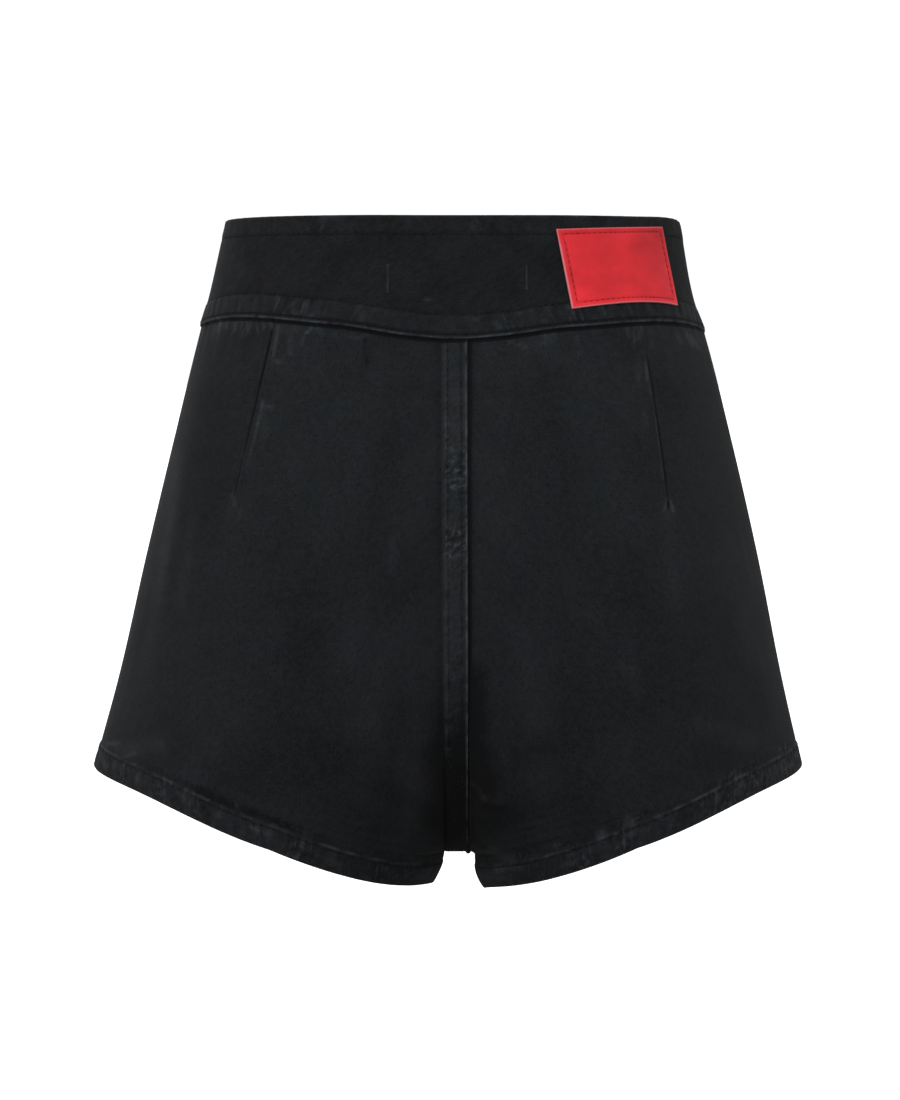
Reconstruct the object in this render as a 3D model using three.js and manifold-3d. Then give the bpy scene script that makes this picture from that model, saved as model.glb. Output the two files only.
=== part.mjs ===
// High waisted denim shorts, filled out as if worn, with nobody in them.
//
// Millimetres, +Z up. The origin is the middle of the waist opening, level with its top edge.
// The front faces -Y and the back faces +Y, so the wearer's left is +X.
// Every cloth piece is a closed wall that follows one outer surface: sections through the garment
// are worked out from named sizes, and each piece moves the points of its stretch in and out.

import * as THREE from "three";
import { mergeVertices } from "three/addons/utils/BufferGeometryUtils.js";
import Module from "manifold-3d";

const manifold = await Module();
manifold.setup();

// Driving sizes of the whole garment

const SIDE_BAND_DROP = 57; // waist edge down to the waist seam, at the side
const SIDE_HEM_DROP = 277; // waist edge down to the hem, at the side
const CROTCH_DROP = 322; // waist edge down to the point where the legs part
const HIP_DROP = 172; // where the seat is fullest, and the crotch curve begins
const LAP_WIDTH = 12; // the flat seam that runs down the centre, back and front
const SEAM_GAP = 0.3; // between neighbouring pieces
const CENTRE_LEAN = -1.0; // how far the centre seam leans to the wearer's right at the crotch
const CROTCH_FULLNESS = 2.25; // 2 is an ellipse, more is squarer
// The gap between the legs on each side of the centre: it turns from the lap's own half width to
// its start within a share of the way down, and widens to its spread by a power of that way
const INSEAM = {
  turn: 0.12,
  left: { start: 6, spread: 12.6, power: 1.6 },
  right: { start: 9.2, spread: 14.8, power: 3 },
};

// Walls

const CLOTH = 1.4;
const HEM = { height: 12, step: 0.7, out: 0.6, in: 2.0 };
const LAP = { rise: 1.0, step: 0.7 };
const BAND = { out: 0.9, in: 1.8, rim: 0.5 };
const DART = {
  depth: 0.9, spread: 0.02, length: 0.38, fade: 0.15,
  left: [0.345, 0.322], right: [0.32, 0.341], // places across the panel at the seam and at the point
};

// Sections, from the waist edge down. Depths run from the side seam to the back or the front.
// sideTurn is how far the section keeps straight at the side before it bends, fullest the place
// of its fullest point as a share of the half width, and crown its slope there.

const SECTIONS = [
  { drop: 0, left: 115.3, right: 113.8, back: 88, front: 85, sideTurn: 33, fullest: 0.44, crown: 0.24 },
  { drop: 41, left: 124.1, right: 121.2, back: 93.6, front: 90, sideTurn: 36, fullest: 0.44, crown: 0.18 },
  { drop: 57, left: 128.8, right: 126.9, back: 96, front: 92, sideTurn: 37, fullest: 0.44, crown: 0.16 },
  { drop: 110, left: 142.1, right: 140.7, back: 110, front: 99, sideTurn: 42, fullest: 0.45, crown: 0.05 },
  { drop: 172, left: 157.3, right: 155, back: 118, front: 102, sideTurn: 42, fullest: 0.46, crown: 0 },
  { drop: 230, left: 170.8, right: 166.6, back: 114, front: 101, sideTurn: 36, fullest: 0.48, crown: 0 },
  { drop: 277, left: 184, right: 177.3, back: 106, front: 98, sideTurn: 28, fullest: 0.5, crown: 0 },
];

// The waist edge, the waist seam and the hem, as drops from the side seam (0) to the centre or the
// inseam (1)

const WAIST_EDGE = [
  { across: 0, back_left: 1.6, back_right: 4.4, front_left: 1.6, front_right: 4.4 },
  { across: 0.05, back_left: 1.1, back_right: 1.8, front_left: 1.1, front_right: 1.8 },
  { across: 0.12, back_left: 0.6, back_right: 0.3, front_left: 0.6, front_right: 0.3 },
  { across: 0.3, back_left: 0, back_right: 0, front_left: 0, front_right: 0 },
  { across: 1, back_left: 0, back_right: 0, front_left: 0, front_right: 0 },
];
const WAIST_SEAM = [
  { across: 0, back_left: 55.5, back_right: 58.5, front_left: 55.5, front_right: 58.5 },
  { across: 0.25, back_left: 50.5, back_right: 52.7, front_left: 54, front_right: 56 },
  { across: 0.5, back_left: 54.3, back_right: 55.3, front_left: 55, front_right: 56 },
  { across: 0.75, back_left: 58.3, back_right: 58.6, front_left: 57, front_right: 57 },
  { across: 1, back_left: 61, back_right: 61, front_left: 58, front_right: 58 },
];
const HEM_LINE = [
  { across: 0, back_left: 278.2, back_right: 278, front_left: 278.2, front_right: 278 },
  { across: 0.25, back_left: 288.3, back_right: 288, front_left: 288.3, front_right: 288.5 },
  { across: 0.5, back_left: 311.4, back_right: 310.6, front_left: 308, front_right: 307 },
  { across: 0.75, back_left: 331.3, back_right: 330.9, front_left: 328, front_right: 327.5 },
  { across: 1, back_left: 339.2, back_right: 342, front_left: 339.2, front_right: 342 },
];

// Soft troughs in the cloth. Ends are x from the centre seam outwards and drop from the waist edge.

const TROUGHS = [
  { face: "back", side: "right", x1: 8, drop1: 306, x2: 34, drop2: 292, depth: 1.6, half: 6 },
  { face: "back", side: "right", x1: 10, drop1: 286, x2: 44, drop2: 262, depth: 1.2, half: 8 },
  { face: "back", side: "left", x1: 8, drop1: 300, x2: 38, drop2: 278, depth: 1.4, half: 7 },
  { face: "front", side: "right", x1: 8, drop1: 300, x2: 60, drop2: 262, depth: 2.0, half: 8 },
  { face: "front", side: "right", x1: 10, drop1: 272, x2: 52, drop2: 236, depth: 1.2, half: 8 },
  { face: "front", side: "left", x1: 8, drop1: 296, x2: 54, drop2: 256, depth: 1.8, half: 8 },
];

// Grid of a panel. The columns beside the dart stand a little to each side of it.

const ROWS_TO_HIP = 7;
const ROWS_TO_CROTCH = 11;
const COLUMNS_OUTER = [0, 0.05, 0.11, 0.18, 0.25];
const COLUMNS_MIDDLE = [0.42, 0.5];
const COLUMNS_INNER = [0.58, 0.66, 0.74, 0.81, 0.87, 0.92, 0.96, 1];

// Waistband, patch, fly and buttons

const BAND_ROWS = [0, 0.06, 0.35, 0.7, 0.94, 1];
const BAND_COLUMNS = [0, 0.05, 0.11, 0.18, 0.25, 0.33, 0.42, 0.5, 0.62, 0.74, 0.87, 1];
const UNDERLAP = { steps: [1.5, 2, 2.7, 3.4], inward: 3.0, from: 36, whole: 9 };
const PATCH = {
  top: { inner: 49.6, outer: 102.3, innerDrop: 6.9, outerDrop: 5.3 },
  low: { inner: 57.2, outer: 110.2, drop: 44.4 },
  bow: 1.2, thick: 1.2, columns: 12, rows: 6,
};
const FLY = { length: 128, rows: 12 };
const ZIP = {
  half: 11, tape: 0.8, chainHalf: 2.6, chain: 2.4,
  inward: 3.2, notchHalf: 4.6, top: 2, bottom: 8,
};
const SHIELD = { right: 30, left: 26, inward: 6.0, thick: 1.4, columns: 9, cornerFrom: 0.8, cornerCut: 12 };
const SLIDER = {
  half: 3.8, length: 10, inward: 2.5, thick: 3.0,
  tabHalf: 2.4, tabLength: 20, tabThick: 0.9, tabFrom: 2,
};
const BUTTON = { radius: 8.5, height: 3.6, x: 8, drops: [15, 43], segments: 28 };

const SIDES = { left: 1, right: -1 };
const FACES = { back: 1, front: -1 };
const HANDLE = 0.42; // reach of a curve's handles in the half of a section near the centre
const TURN_FROM = 10; // below the hip, where the rows start to turn into the crotch

// Smooth value of one column of a table, by a Hermite curve through its rows.
function smooth(table, key, column, at) {
  let i = 0;
  while (i < table.length - 2 && at > table[i + 1][key]) i += 1;
  const slope = (a, b) => (table[b][column] - table[a][column]) / (table[b][key] - table[a][key]);
  const span = table[i + 1][key] - table[i][key];
  const here = slope(i, i + 1);
  const before = i > 0 ? (slope(i - 1, i) + here) / 2 : here;
  const after = i < table.length - 2 ? (here + slope(i + 1, i + 2)) / 2 : here;
  const t = (at - table[i][key]) / span;
  const rise = table[i + 1][column] - table[i][column];
  return (
    table[i][column] +
    rise * t * t * (3 - 2 * t) +
    span * before * t * (1 - t) ** 2 -
    span * after * t * t * (1 - t)
  );
}

function mix(a, b, t) {
  return a + (b - a) * t;
}

function ease(t) {
  const held = Math.min(1, Math.max(0, t));
  return held * held * (3 - 2 * held);
}

function bezier(a, b, c, d, t) {
  const s = 1 - t;
  return a * s ** 3 + 3 * b * s * s * t + 3 * c * s * t * t + d * t ** 3;
}

const edgeDrop = (face, side, u) => smooth(WAIST_EDGE, "across", `${face}_${side}`, u);
const seamDrop = (face, side, u) => smooth(WAIST_SEAM, "across", `${face}_${side}`, u);
const hemDrop = (face, side, u) => smooth(HEM_LINE, "across", `${face}_${side}`, u);

// The centre seam's distance from the side plane: the section's depth down to the hip, then the
// crotch curve, a rounded quarter that ends at the crotch point.
function centreDepth(face, drop) {
  const full = smooth(SECTIONS, "drop", face, Math.min(drop, HIP_DROP));
  if (drop <= HIP_DROP) return full;
  const share = Math.min(1, (drop - HIP_DROP) / (CROTCH_DROP - HIP_DROP));
  return full * (1 - share ** CROTCH_FULLNESS) ** (1 / CROTCH_FULLNESS);
}

// How far the end of a row has turned to run into the crotch: 0 across the seat, 1 straight in.
function crotchTurn(drop) {
  return ease((drop - HIP_DROP - TURN_FROM) / (CROTCH_DROP - HIP_DROP - TURN_FROM));
}

// The drop of a point, from the waist edge to the waist seam (v from -1 to 0) and on to the hem (1).
function dropAt(face, side, u, v) {
  const along = Math.min(u, 1);
  const seam = seamDrop(face, side, along);
  if (v < 0) return mix(edgeDrop(face, side, along), seam, 1 + v);
  return mix(seam, hemDrop(face, side, along), v);
}

// The v at which the centre edge of a panel reaches a drop.
function shareDown(face, side, drop) {
  const seam = seamDrop(face, side, 1);
  return (drop - seam) / (hemDrop(face, side, 1) - seam);
}

// A point of the outer surface. u runs from the side seam (0) to the edge of the centre seam (1)
// and on across it (2), v from the waist edge (-1) to the waist seam (0) and the hem (1).
// A section is two curves, from the side to its fullest point and from there to the centre.
function surface(face, side, u, v) {
  const level = v < 0 ? SIDE_BAND_DROP * (1 + v) : mix(SIDE_BAND_DROP, SIDE_HEM_DROP, v);
  const size = (column) => smooth(SECTIONS, "drop", column, level);
  const drop = dropAt(face, side, u, v);
  const half = size(side);
  const fullX = half * size("fullest");
  const crown = size("crown");
  const fullY = size(face) - (crown * fullX) / 2;
  const endDrop = dropAt(face, side, 1, v);
  const below = Math.max(0, (endDrop - CROTCH_DROP) / (hemDrop(face, side, 1) - CROTCH_DROP));
  const gap = INSEAM[side];
  const turned = mix(LAP_WIDTH / 2, gap.start, ease(below / INSEAM.turn));
  const endX = turned + (gap.spread - gap.start) * below ** gap.power;
  const endY = centreDepth(face, endDrop);
  let x;
  let y;
  if (u < 0.5) {
    const reach = (half - fullX) / 2;
    x = bezier(half, half, fullX + reach, fullX, u * 2);
    y = bezier(0, size("sideTurn"), fullY - crown * reach, fullY, u * 2);
  } else if (u <= 1) {
    const reach = Math.hypot(fullX - endX, fullY - endY) * HANDLE;
    const start = (fullX - endX) * HANDLE;
    const angle = (crotchTurn(endDrop) * Math.PI) / 2;
    x = bezier(fullX, fullX - start, endX + Math.cos(angle) * reach, endX, u * 2 - 1);
    y = bezier(fullY, fullY + crown * start, endY + Math.sin(angle) * reach, endY, u * 2 - 1);
  } else {
    x = endX - (u - 1) * LAP_WIDTH;
    y = endY;
  }
  const lean = ((CENTRE_LEAN * drop) / CROTCH_DROP) * ease(u * 2);
  return new THREE.Vector3(SIDES[side] * x + lean, FACES[face] * y, -drop);
}

// The u at which a row passes a given distance from the centre.
function acrossAt(face, side, x, v) {
  let low = 0;
  let high = 1;
  for (let step = 0; step < 24; step += 1) {
    const middle = (low + high) / 2;
    if (Math.abs(surface(face, side, middle, v).x) > x) low = middle;
    else high = middle;
  }
  return (low + high) / 2;
}

// How far the troughs sink the cloth at a point.
function troughDepth(face, side, point) {
  let sunk = 0;
  for (const fold of TROUGHS) {
    if (fold.face !== face || fold.side !== side) continue;
    const ax = fold.x1;
    const az = fold.drop1;
    const dx = fold.x2 - ax;
    const dz = fold.drop2 - az;
    const px = Math.abs(point.x) - ax;
    const pz = -point.z - az;
    const t = Math.min(1, Math.max(0, (px * dx + pz * dz) / (dx * dx + dz * dz)));
    const away = Math.hypot(px - t * dx, pz - t * dz) / fold.half;
    sunk += fold.depth * Math.exp(-away * away) * (1 - 0.7 * t);
  }
  return sunk;
}

// A closed wall from the points of one surface: each point moves out along its normal to make the
// outer skin and in to make the inner one, and every open edge is bridged.
function wall(points, triangles) {
  const normals = points.map(() => new THREE.Vector3());
  const ab = new THREE.Vector3();
  const ac = new THREE.Vector3();
  for (const [a, b, c] of triangles) {
    ab.subVectors(points[b].at, points[a].at);
    ac.subVectors(points[c].at, points[a].at);
    const face = ab.clone().cross(ac);
    for (const corner of [a, b, c]) normals[corner].add(face);
  }
  points.forEach((point, i) => {
    if (point.square) normals[i][point.square] = 0;
    normals[i].normalize();
  });
  const count = points.length;
  const positions = new Float32Array(count * 6);
  points.forEach((point, i) => {
    point.at.clone().addScaledVector(normals[i], point.out).toArray(positions, i * 3);
    point.at.clone().addScaledVector(normals[i], -point.in).toArray(positions, (count + i) * 3);
  });
  const index = [];
  const edges = new Map();
  for (const [a, b, c] of triangles) {
    index.push(a, b, c, count + a, count + c, count + b);
    for (const [from, to] of [[a, b], [b, c], [c, a]]) {
      if (!edges.delete(to + "," + from)) edges.set(from + "," + to, [from, to]);
    }
  }
  for (const [from, to] of edges.values()) {
    index.push(from, count + from, to, to, count + from, count + to);
  }
  const geometry = new THREE.BufferGeometry();
  geometry.setAttribute("position", new THREE.BufferAttribute(positions, 3));
  geometry.setIndex(index);
  geometry.computeVertexNormals();
  return geometry;
}

// Two triangles for each cell between two rows of point numbers. Turned is true where the rows run
// the other way round, so that the faces still point out.
function stripTriangles(upper, lower, turned) {
  const triangles = [];
  for (let i = 0; i < upper.length - 1; i += 1) {
    const [a, b, c, d] = [upper[i], upper[i + 1], lower[i + 1], lower[i]];
    if (turned) triangles.push([a, d, c], [a, c, b]);
    else triangles.push([a, b, c], [a, c, d]);
  }
  return triangles;
}

// The triangles of a grid whose points stand row after row.
function gridTriangles(rows, columns, turned) {
  const triangles = [];
  const rowIds = (row) => Array.from({ length: columns }, (_, i) => row * columns + i);
  for (let row = 0; row < rows - 1; row += 1) {
    triangles.push(...stripTriangles(rowIds(row), rowIds(row + 1), turned));
  }
  return triangles;
}

// The v of each row of a panel at one u. Rows are even down to the hip and follow the crotch curve's
// angle below it. The last ones are the top, the step and the edge of the hem.
function panelRows(face, side, u) {
  const hip = shareDown(face, side, HIP_DROP);
  const crotch = shareDown(face, side, CROTCH_DROP);
  const rows = [];
  for (let i = 0; i < ROWS_TO_HIP; i += 1) rows.push((hip * i) / ROWS_TO_HIP);
  for (let i = 0; i <= ROWS_TO_CROTCH; i += 1) {
    const angle = (i / ROWS_TO_CROTCH) * (Math.PI / 2);
    rows.push(mix(hip, crotch, Math.sin(angle) ** (2 / CROTCH_FULLNESS)));
  }
  const length = hemDrop(face, side, u) - seamDrop(face, side, u);
  for (const above of [HEM.height, HEM.height - HEM.step, HEM.height / 2, 0]) {
    rows.push(1 - above / length);
  }
  return rows;
}

// A front or back panel. The left ones carry the flat centre seam, which laps over the right ones.
function panel(face, side) {
  const crotchRow = ROWS_TO_HIP + ROWS_TO_CROTCH;
  const turned = (side === "left") === (face === "back");
  const sideShift = (FACES[face] * SEAM_GAP) / 2;
  const rowTotal = panelRows(face, side, 0).length;
  const points = [];
  const triangles = [];
  let above = null;
  for (let row = 0; row < rowTotal; row += 1) {
    const reach = Math.min(1, panelRows(face, side, 0)[row] / DART.length);
    const dart = mix(...DART[side], reach);
    const beside = [dart - DART.spread, dart, dart + DART.spread];
    const columns = [...COLUMNS_OUTER, ...beside, ...COLUMNS_MIDDLE, ...COLUMNS_INNER];
    const ids = [];
    const put = (at, out, inside, square) => {
      if (row === 0) at.z -= SEAM_GAP;
      ids.push(points.length);
      points.push({ at, out, in: inside, square });
    };
    for (const u of columns) {
      const v = panelRows(face, side, u)[row];
      const at = surface(face, side, u, v);
      const onSide = u === 0;
      const onCentre = u === 1;
      const onInseam = onCentre && row >= crotchRow;
      const inHem = row >= crotchRow + 2;
      let sunk = onCentre ? 0 : troughDepth(face, side, at);
      if (face === "back" && u === dart) sunk += DART.depth * ease((DART.length - v) / DART.fade);
      if (onSide || onInseam) at.y += sideShift;
      if (side === "right" && onCentre && row <= crotchRow) at.x -= SEAM_GAP;
      const [out, inside] = inHem ? [HEM.out, HEM.in] : [0, CLOTH];
      put(at, out - sunk, inside + sunk, onSide || onInseam ? "y" : null);
    }
    if (side === "left" && row <= crotchRow) {
      for (const share of [LAP.step / LAP_WIDTH, 0.5, 1]) {
        const at = surface(face, side, 1 + share, panelRows(face, side, 1)[row]);
        if (row === crotchRow) at.y += sideShift;
        put(at, LAP.rise, CLOTH, row === crotchRow ? "y" : share === 1 ? "x" : null);
      }
    }
    if (above) {
      const shared = Math.min(above.length, ids.length);
      triangles.push(...stripTriangles(above.slice(0, shared), ids.slice(0, shared), turned));
    }
    above = ids;
  }
  return wall(points, triangles);
}

// Stations of the waistband, one after another from the left front end round the back to the
// right front end, which runs on inside the left end as the underlap.
function bandStations() {
  const inwards = BAND_COLUMNS.slice(1);
  const outwards = [...BAND_COLUMNS].reverse();
  const place = (face, side, list) => list.map((u) => ({ face, side, u }));
  return [
    ...place("front", "left", [2, 1.5, ...outwards]),
    ...place("back", "left", [...inwards, 1.5]),
    ...place("back", "right", outwards),
    ...place("front", "right", [...inwards, ...UNDERLAP.steps]),
  ];
}

function waistband() {
  const stations = bandStations();
  const points = [];
  for (const down of BAND_ROWS) {
    const rim = down === 0 || down === 1 ? BAND.rim : 0;
    for (const { face, side, u } of stations) {
      const at = surface(face, side, u, down - 1);
      const under = side === "right" && face === "front";
      const share = under ? ease((UNDERLAP.from + at.x) / (UNDERLAP.from - UNDERLAP.whole)) : 0;
      const inward = UNDERLAP.inward * share;
      points.push({ at, out: BAND.out - inward - rim, in: BAND.in + inward - rim * 0.6 });
    }
  }
  return wall(points, gridTriangles(BAND_ROWS.length, stations.length, true));
}

// The leather patch on the right half of the waistband, seen from behind.
function waistPatch() {
  const points = [];
  for (let row = 0; row <= PATCH.rows; row += 1) {
    const down = row / PATCH.rows;
    const inner = mix(PATCH.top.inner, PATCH.low.inner, down);
    const outer = mix(PATCH.top.outer, PATCH.low.outer, down);
    for (let column = 0; column <= PATCH.columns; column += 1) {
      const share = column / PATCH.columns;
      const bow = PATCH.bow * 4 * share * (1 - share) * down;
      const topDrop = mix(PATCH.top.innerDrop, PATCH.top.outerDrop, share);
      const drop = mix(topDrop, PATCH.low.drop, down) - bow;
      const v = drop / seamDrop("back", "right", 0.3) - 1;
      const u = mix(acrossAt("back", "right", inner, v), acrossAt("back", "right", outer, v), share);
      const base = BAND.out + SEAM_GAP;
      points.push({ at: surface("back", "right", u, v), out: base + PATCH.thick, in: -base });
    }
  }
  return wall(points, gridTriangles(PATCH.rows + 1, PATCH.columns + 1, true));
}

// A point on the middle of the front, x to the wearer's left, at a drop from the waist edge.
function frontMiddle(x, drop) {
  const side = x < 0 ? "right" : "left";
  const v = shareDown("front", side, drop);
  const away = Math.abs(x);
  const u = away > LAP_WIDTH / 2 ? acrossAt("front", side, away, v) : 1.5 - away / LAP_WIDTH;
  return surface("front", side, u, v);
}

// The guard strip behind the opening, sewn to the right front.
function flyShield() {
  const points = [];
  const top = seamDrop("front", "left", 1) + SEAM_GAP * 2;
  for (let row = 0; row <= FLY.rows; row += 1) {
    const down = row / FLY.rows;
    for (let column = 0; column <= SHIELD.columns; column += 1) {
      const share = column / SHIELD.columns;
      const cut = SHIELD.cornerCut * Math.max(0, down - SHIELD.cornerFrom) / (1 - SHIELD.cornerFrom);
      const x = mix(-SHIELD.right, SHIELD.left - cut, share);
      const at = frontMiddle(x, top + FLY.length * down);
      const inward = mix(CLOTH + SEAM_GAP, SHIELD.inward, ease(share * 2.4));
      points.push({ at, out: -inward, in: inward + SHIELD.thick });
    }
  }
  return wall(points, gridTriangles(FLY.rows + 1, SHIELD.columns + 1, true));
}

// The closed zip: a tape with its chain raised down the middle, notched where the slider stands.
function flyZip() {
  const { half, notchHalf, chainHalf, tape, chain, inward } = ZIP;
  const halves = [half, notchHalf, chainHalf + 0.4, chainHalf];
  const across = [...halves.map((x) => -x), ...[...halves].reverse()];
  const top = seamDrop("front", "left", 1) + ZIP.top;
  const chainTop = top + SLIDER.length + SEAM_GAP * 2;
  const bottom = top + FLY.length - ZIP.bottom;
  const drops = [top, chainTop];
  for (let i = 1; i <= FLY.rows; i += 1) drops.push(mix(chainTop, bottom, i / FLY.rows));
  const points = [];
  const triangles = [];
  drops.forEach((drop, row) => {
    for (const x of across) {
      const towardsEdge = ease((Math.abs(x) - notchHalf) / (half - notchHalf));
      const outer = mix(inward, CLOTH + SEAM_GAP, towardsEdge);
      const thick = Math.abs(x) <= chainHalf ? chain : tape;
      points.push({ at: frontMiddle(x, drop), out: -outer, in: outer + thick });
    }
    if (row === 0) return;
    const ids = (of) => across.map((_, i) => of * across.length + i);
    const [upper, lower] = [ids(row - 1), ids(row)];
    const parts = row === 1 ? [[0, 2], [across.length - 2, across.length]] : [[0, across.length]];
    for (const [from, to] of parts) {
      triangles.push(...stripTriangles(upper.slice(from, to), lower.slice(from, to), true));
    }
  });
  return wall(points, triangles);
}

// One closed mesh from overlapping ones.
function join(geometries) {
  const solids = geometries.map((geometry) => {
    const bare = geometry.clone();
    bare.deleteAttribute("normal");
    bare.deleteAttribute("uv");
    const merged = mergeVertices(bare, 1e-4);
    return new manifold.Manifold(
      new manifold.Mesh({
        numProp: 3,
        vertProperties: merged.getAttribute("position").array,
        triVerts: new Uint32Array(merged.index.array),
      }),
    );
  });
  const mesh = solids.reduce((whole, solid) => whole.add(solid)).getMesh();
  const joined = new THREE.BufferGeometry();
  joined.setAttribute("position", new THREE.BufferAttribute(mesh.vertProperties, 3));
  joined.setIndex(new THREE.BufferAttribute(mesh.triVerts, 1));
  joined.computeVertexNormals();
  return joined;
}

// A plate with rounded ends: halfTop and halfEnd wide, from y = 0 down to -length, extruded in z.
function plate(halfTop, halfEnd, length, thick) {
  const shape = new THREE.Shape();
  shape.moveTo(-halfTop, 0);
  shape.lineTo(-halfEnd, -length + halfEnd);
  shape.absarc(0, -length + halfEnd, halfEnd, Math.PI, 0, false);
  shape.lineTo(halfTop, 0);
  shape.closePath();
  return new THREE.ExtrudeGeometry(shape, { depth: thick, bevelEnabled: false, curveSegments: 8 });
}

// The zip's slider and pull tab, in a frame whose -Y runs down the chain and +Z faces out.
function zipSlider() {
  const { half, length, thick, tabHalf, tabLength, tabThick, tabFrom, inward } = SLIDER;
  const body = plate(half, half * 0.7, length, thick).translate(0, 0, -inward - thick);
  const tab = plate(tabHalf * 0.8, tabHalf, tabLength, tabThick);
  tab.translate(0, -tabFrom, -inward - tabThick / 2);
  return join([body, tab]);
}

function button() {
  const { radius, height, segments } = BUTTON;
  const profile = [
    [0, 0],
    [radius * 0.45, 0],
    [radius * 0.5, 0.6],
    [radius * 0.92, 0.6],
    [radius, 1.1],
    [radius, 1.9],
    [radius * 0.94, 2.6],
    [radius * 0.8, 2.9],
    [radius * 0.7, 2.5],
    [radius * 0.35, height - 0.5],
    [0, height],
  ].map(([x, y]) => new THREE.Vector2(x, y));
  return new THREE.LatheGeometry(profile, segments).rotateX(Math.PI / 2);
}

// The direction the cloth faces at a point of the surface.
function facing(face, side, u, v) {
  const here = surface(face, side, u, v);
  const acrossStep = surface(face, side, u - 0.02, v).sub(here);
  const downStep = surface(face, side, u, v + 0.02).sub(here);
  const normal = acrossStep.cross(downStep).normalize();
  return normal.y * FACES[face] < 0 ? normal.negate() : normal;
}

const denim = new THREE.MeshStandardMaterial({ color: 0x1f2023, roughness: 0.92, metalness: 0 });
const leather = new THREE.MeshStandardMaterial({ color: 0xb8303a, roughness: 0.6, metalness: 0 });
const tape = new THREE.MeshStandardMaterial({ color: 0x18181a, roughness: 0.9, metalness: 0 });
const metal = new THREE.MeshStandardMaterial({ color: 0x6d6a66, roughness: 0.4, metalness: 0.9 });

const shorts = new THREE.Group();

function add(name, geometry, material) {
  const mesh = new THREE.Mesh(geometry, material);
  mesh.name = name;
  shorts.add(mesh);
  return mesh;
}

for (const face of Object.keys(FACES)) {
  for (const side of Object.keys(SIDES)) add(`${face}_${side}`, panel(face, side), denim);
}
add("waistband", waistband(), denim);
add("waist_patch", waistPatch(), leather);
add("fly_shield", flyShield(), denim);
add("fly_zip", flyZip(), tape);

const slider = add("fly_zip_slider", zipSlider(), metal);
const sliderTop = frontMiddle(0, seamDrop("front", "left", 1) + ZIP.top);
const sliderEnd = frontMiddle(0, seamDrop("front", "left", 1) + ZIP.top + SLIDER.length);
const upChain = sliderTop.clone().sub(sliderEnd).normalize();
const outOfChain = new THREE.Vector3(1, 0, 0).cross(upChain).normalize();
slider.position.copy(sliderTop);
slider.quaternion.setFromRotationMatrix(
  new THREE.Matrix4().makeBasis(new THREE.Vector3(1, 0, 0), upChain, outOfChain),
);

["button_upper", "button_lower"].forEach((name, i) => {
  const v = BUTTON.drops[i] / seamDrop("front", "left", 1) - 1;
  const u = acrossAt("front", "left", BUTTON.x, v);
  const normal = facing("front", "left", u, v);
  const mesh = add(name, button(), metal);
  mesh.position.copy(surface("front", "left", u, v)).addScaledVector(normal, BAND.out + SEAM_GAP);
  mesh.quaternion.setFromUnitVectors(new THREE.Vector3(0, 0, 1), normal);
});

export default shorts;
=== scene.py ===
"""Looks of the high waisted denim shorts: cloth with its seams, hems, wear and painted light and
shade, leather patch, fly, buttons and stitching, on a pale floor in soft light.

Tables and sizes are in millimetres, as in the part's source, and meshes in metres. The back faces
+Y and the wearer's left is +X. A place on the cloth is (u, v): u runs from the side seam (0) to the
edge of the centre seam (1) and across it (2), v from the waist edge (-1) to the waist seam (0) and
the hem (1).
"""

import math

import bpy
import numpy as np
from bpy.props import FloatProperty, FloatVectorProperty, PointerProperty
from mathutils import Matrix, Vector


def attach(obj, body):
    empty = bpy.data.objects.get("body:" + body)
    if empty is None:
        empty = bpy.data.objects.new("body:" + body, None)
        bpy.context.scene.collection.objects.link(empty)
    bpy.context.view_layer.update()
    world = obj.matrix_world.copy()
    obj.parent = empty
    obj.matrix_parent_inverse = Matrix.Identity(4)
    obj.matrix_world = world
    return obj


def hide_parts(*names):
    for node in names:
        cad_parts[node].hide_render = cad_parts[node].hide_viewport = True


bl_info = {
    "name": "High waisted denim shorts",
    "version": (1, 0, 0),
    "blender": (4, 5, 0),
    "location": "3D View > Sidebar > Shorts",
    "description": "Builds the cloth, patch, fly, buttons and stitching of a pair of denim shorts",
    "category": "Add Mesh",
}

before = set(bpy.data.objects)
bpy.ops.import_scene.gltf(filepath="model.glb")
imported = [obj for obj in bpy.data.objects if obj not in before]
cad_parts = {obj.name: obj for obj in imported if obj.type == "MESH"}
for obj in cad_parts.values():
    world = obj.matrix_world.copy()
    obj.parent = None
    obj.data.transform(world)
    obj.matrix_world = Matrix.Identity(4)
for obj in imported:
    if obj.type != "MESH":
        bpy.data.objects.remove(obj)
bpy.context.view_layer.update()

MM = 0.001

# Driving sizes, as in the part's source

SIDE_BAND_DROP = 57
SIDE_HEM_DROP = 277
CROTCH_DROP = 322
HIP_DROP = 172
LAP_WIDTH = 12
SEAM_GAP = 0.3
SEAM_TUCK = 0.5  # how far a back panel's inner edge reaches under the front one, to close the seam
CENTRE_LEAN = -1.0
CROTCH_FULLNESS = 2.25
INSEAM_TURN = 0.12

# Half gap at the inseam's start and at the hem, and the power by which it widens

INSEAM = {"left": (6, 12.6, 1.6), "right": (9.2, 14.8, 3)}
SOFT_TURN = {"from": 250, "over": 40, "reach": 18}  # drop where the turn softens, and how far it blurs
HANDLE = 0.42
TURN_FROM = 10

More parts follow.
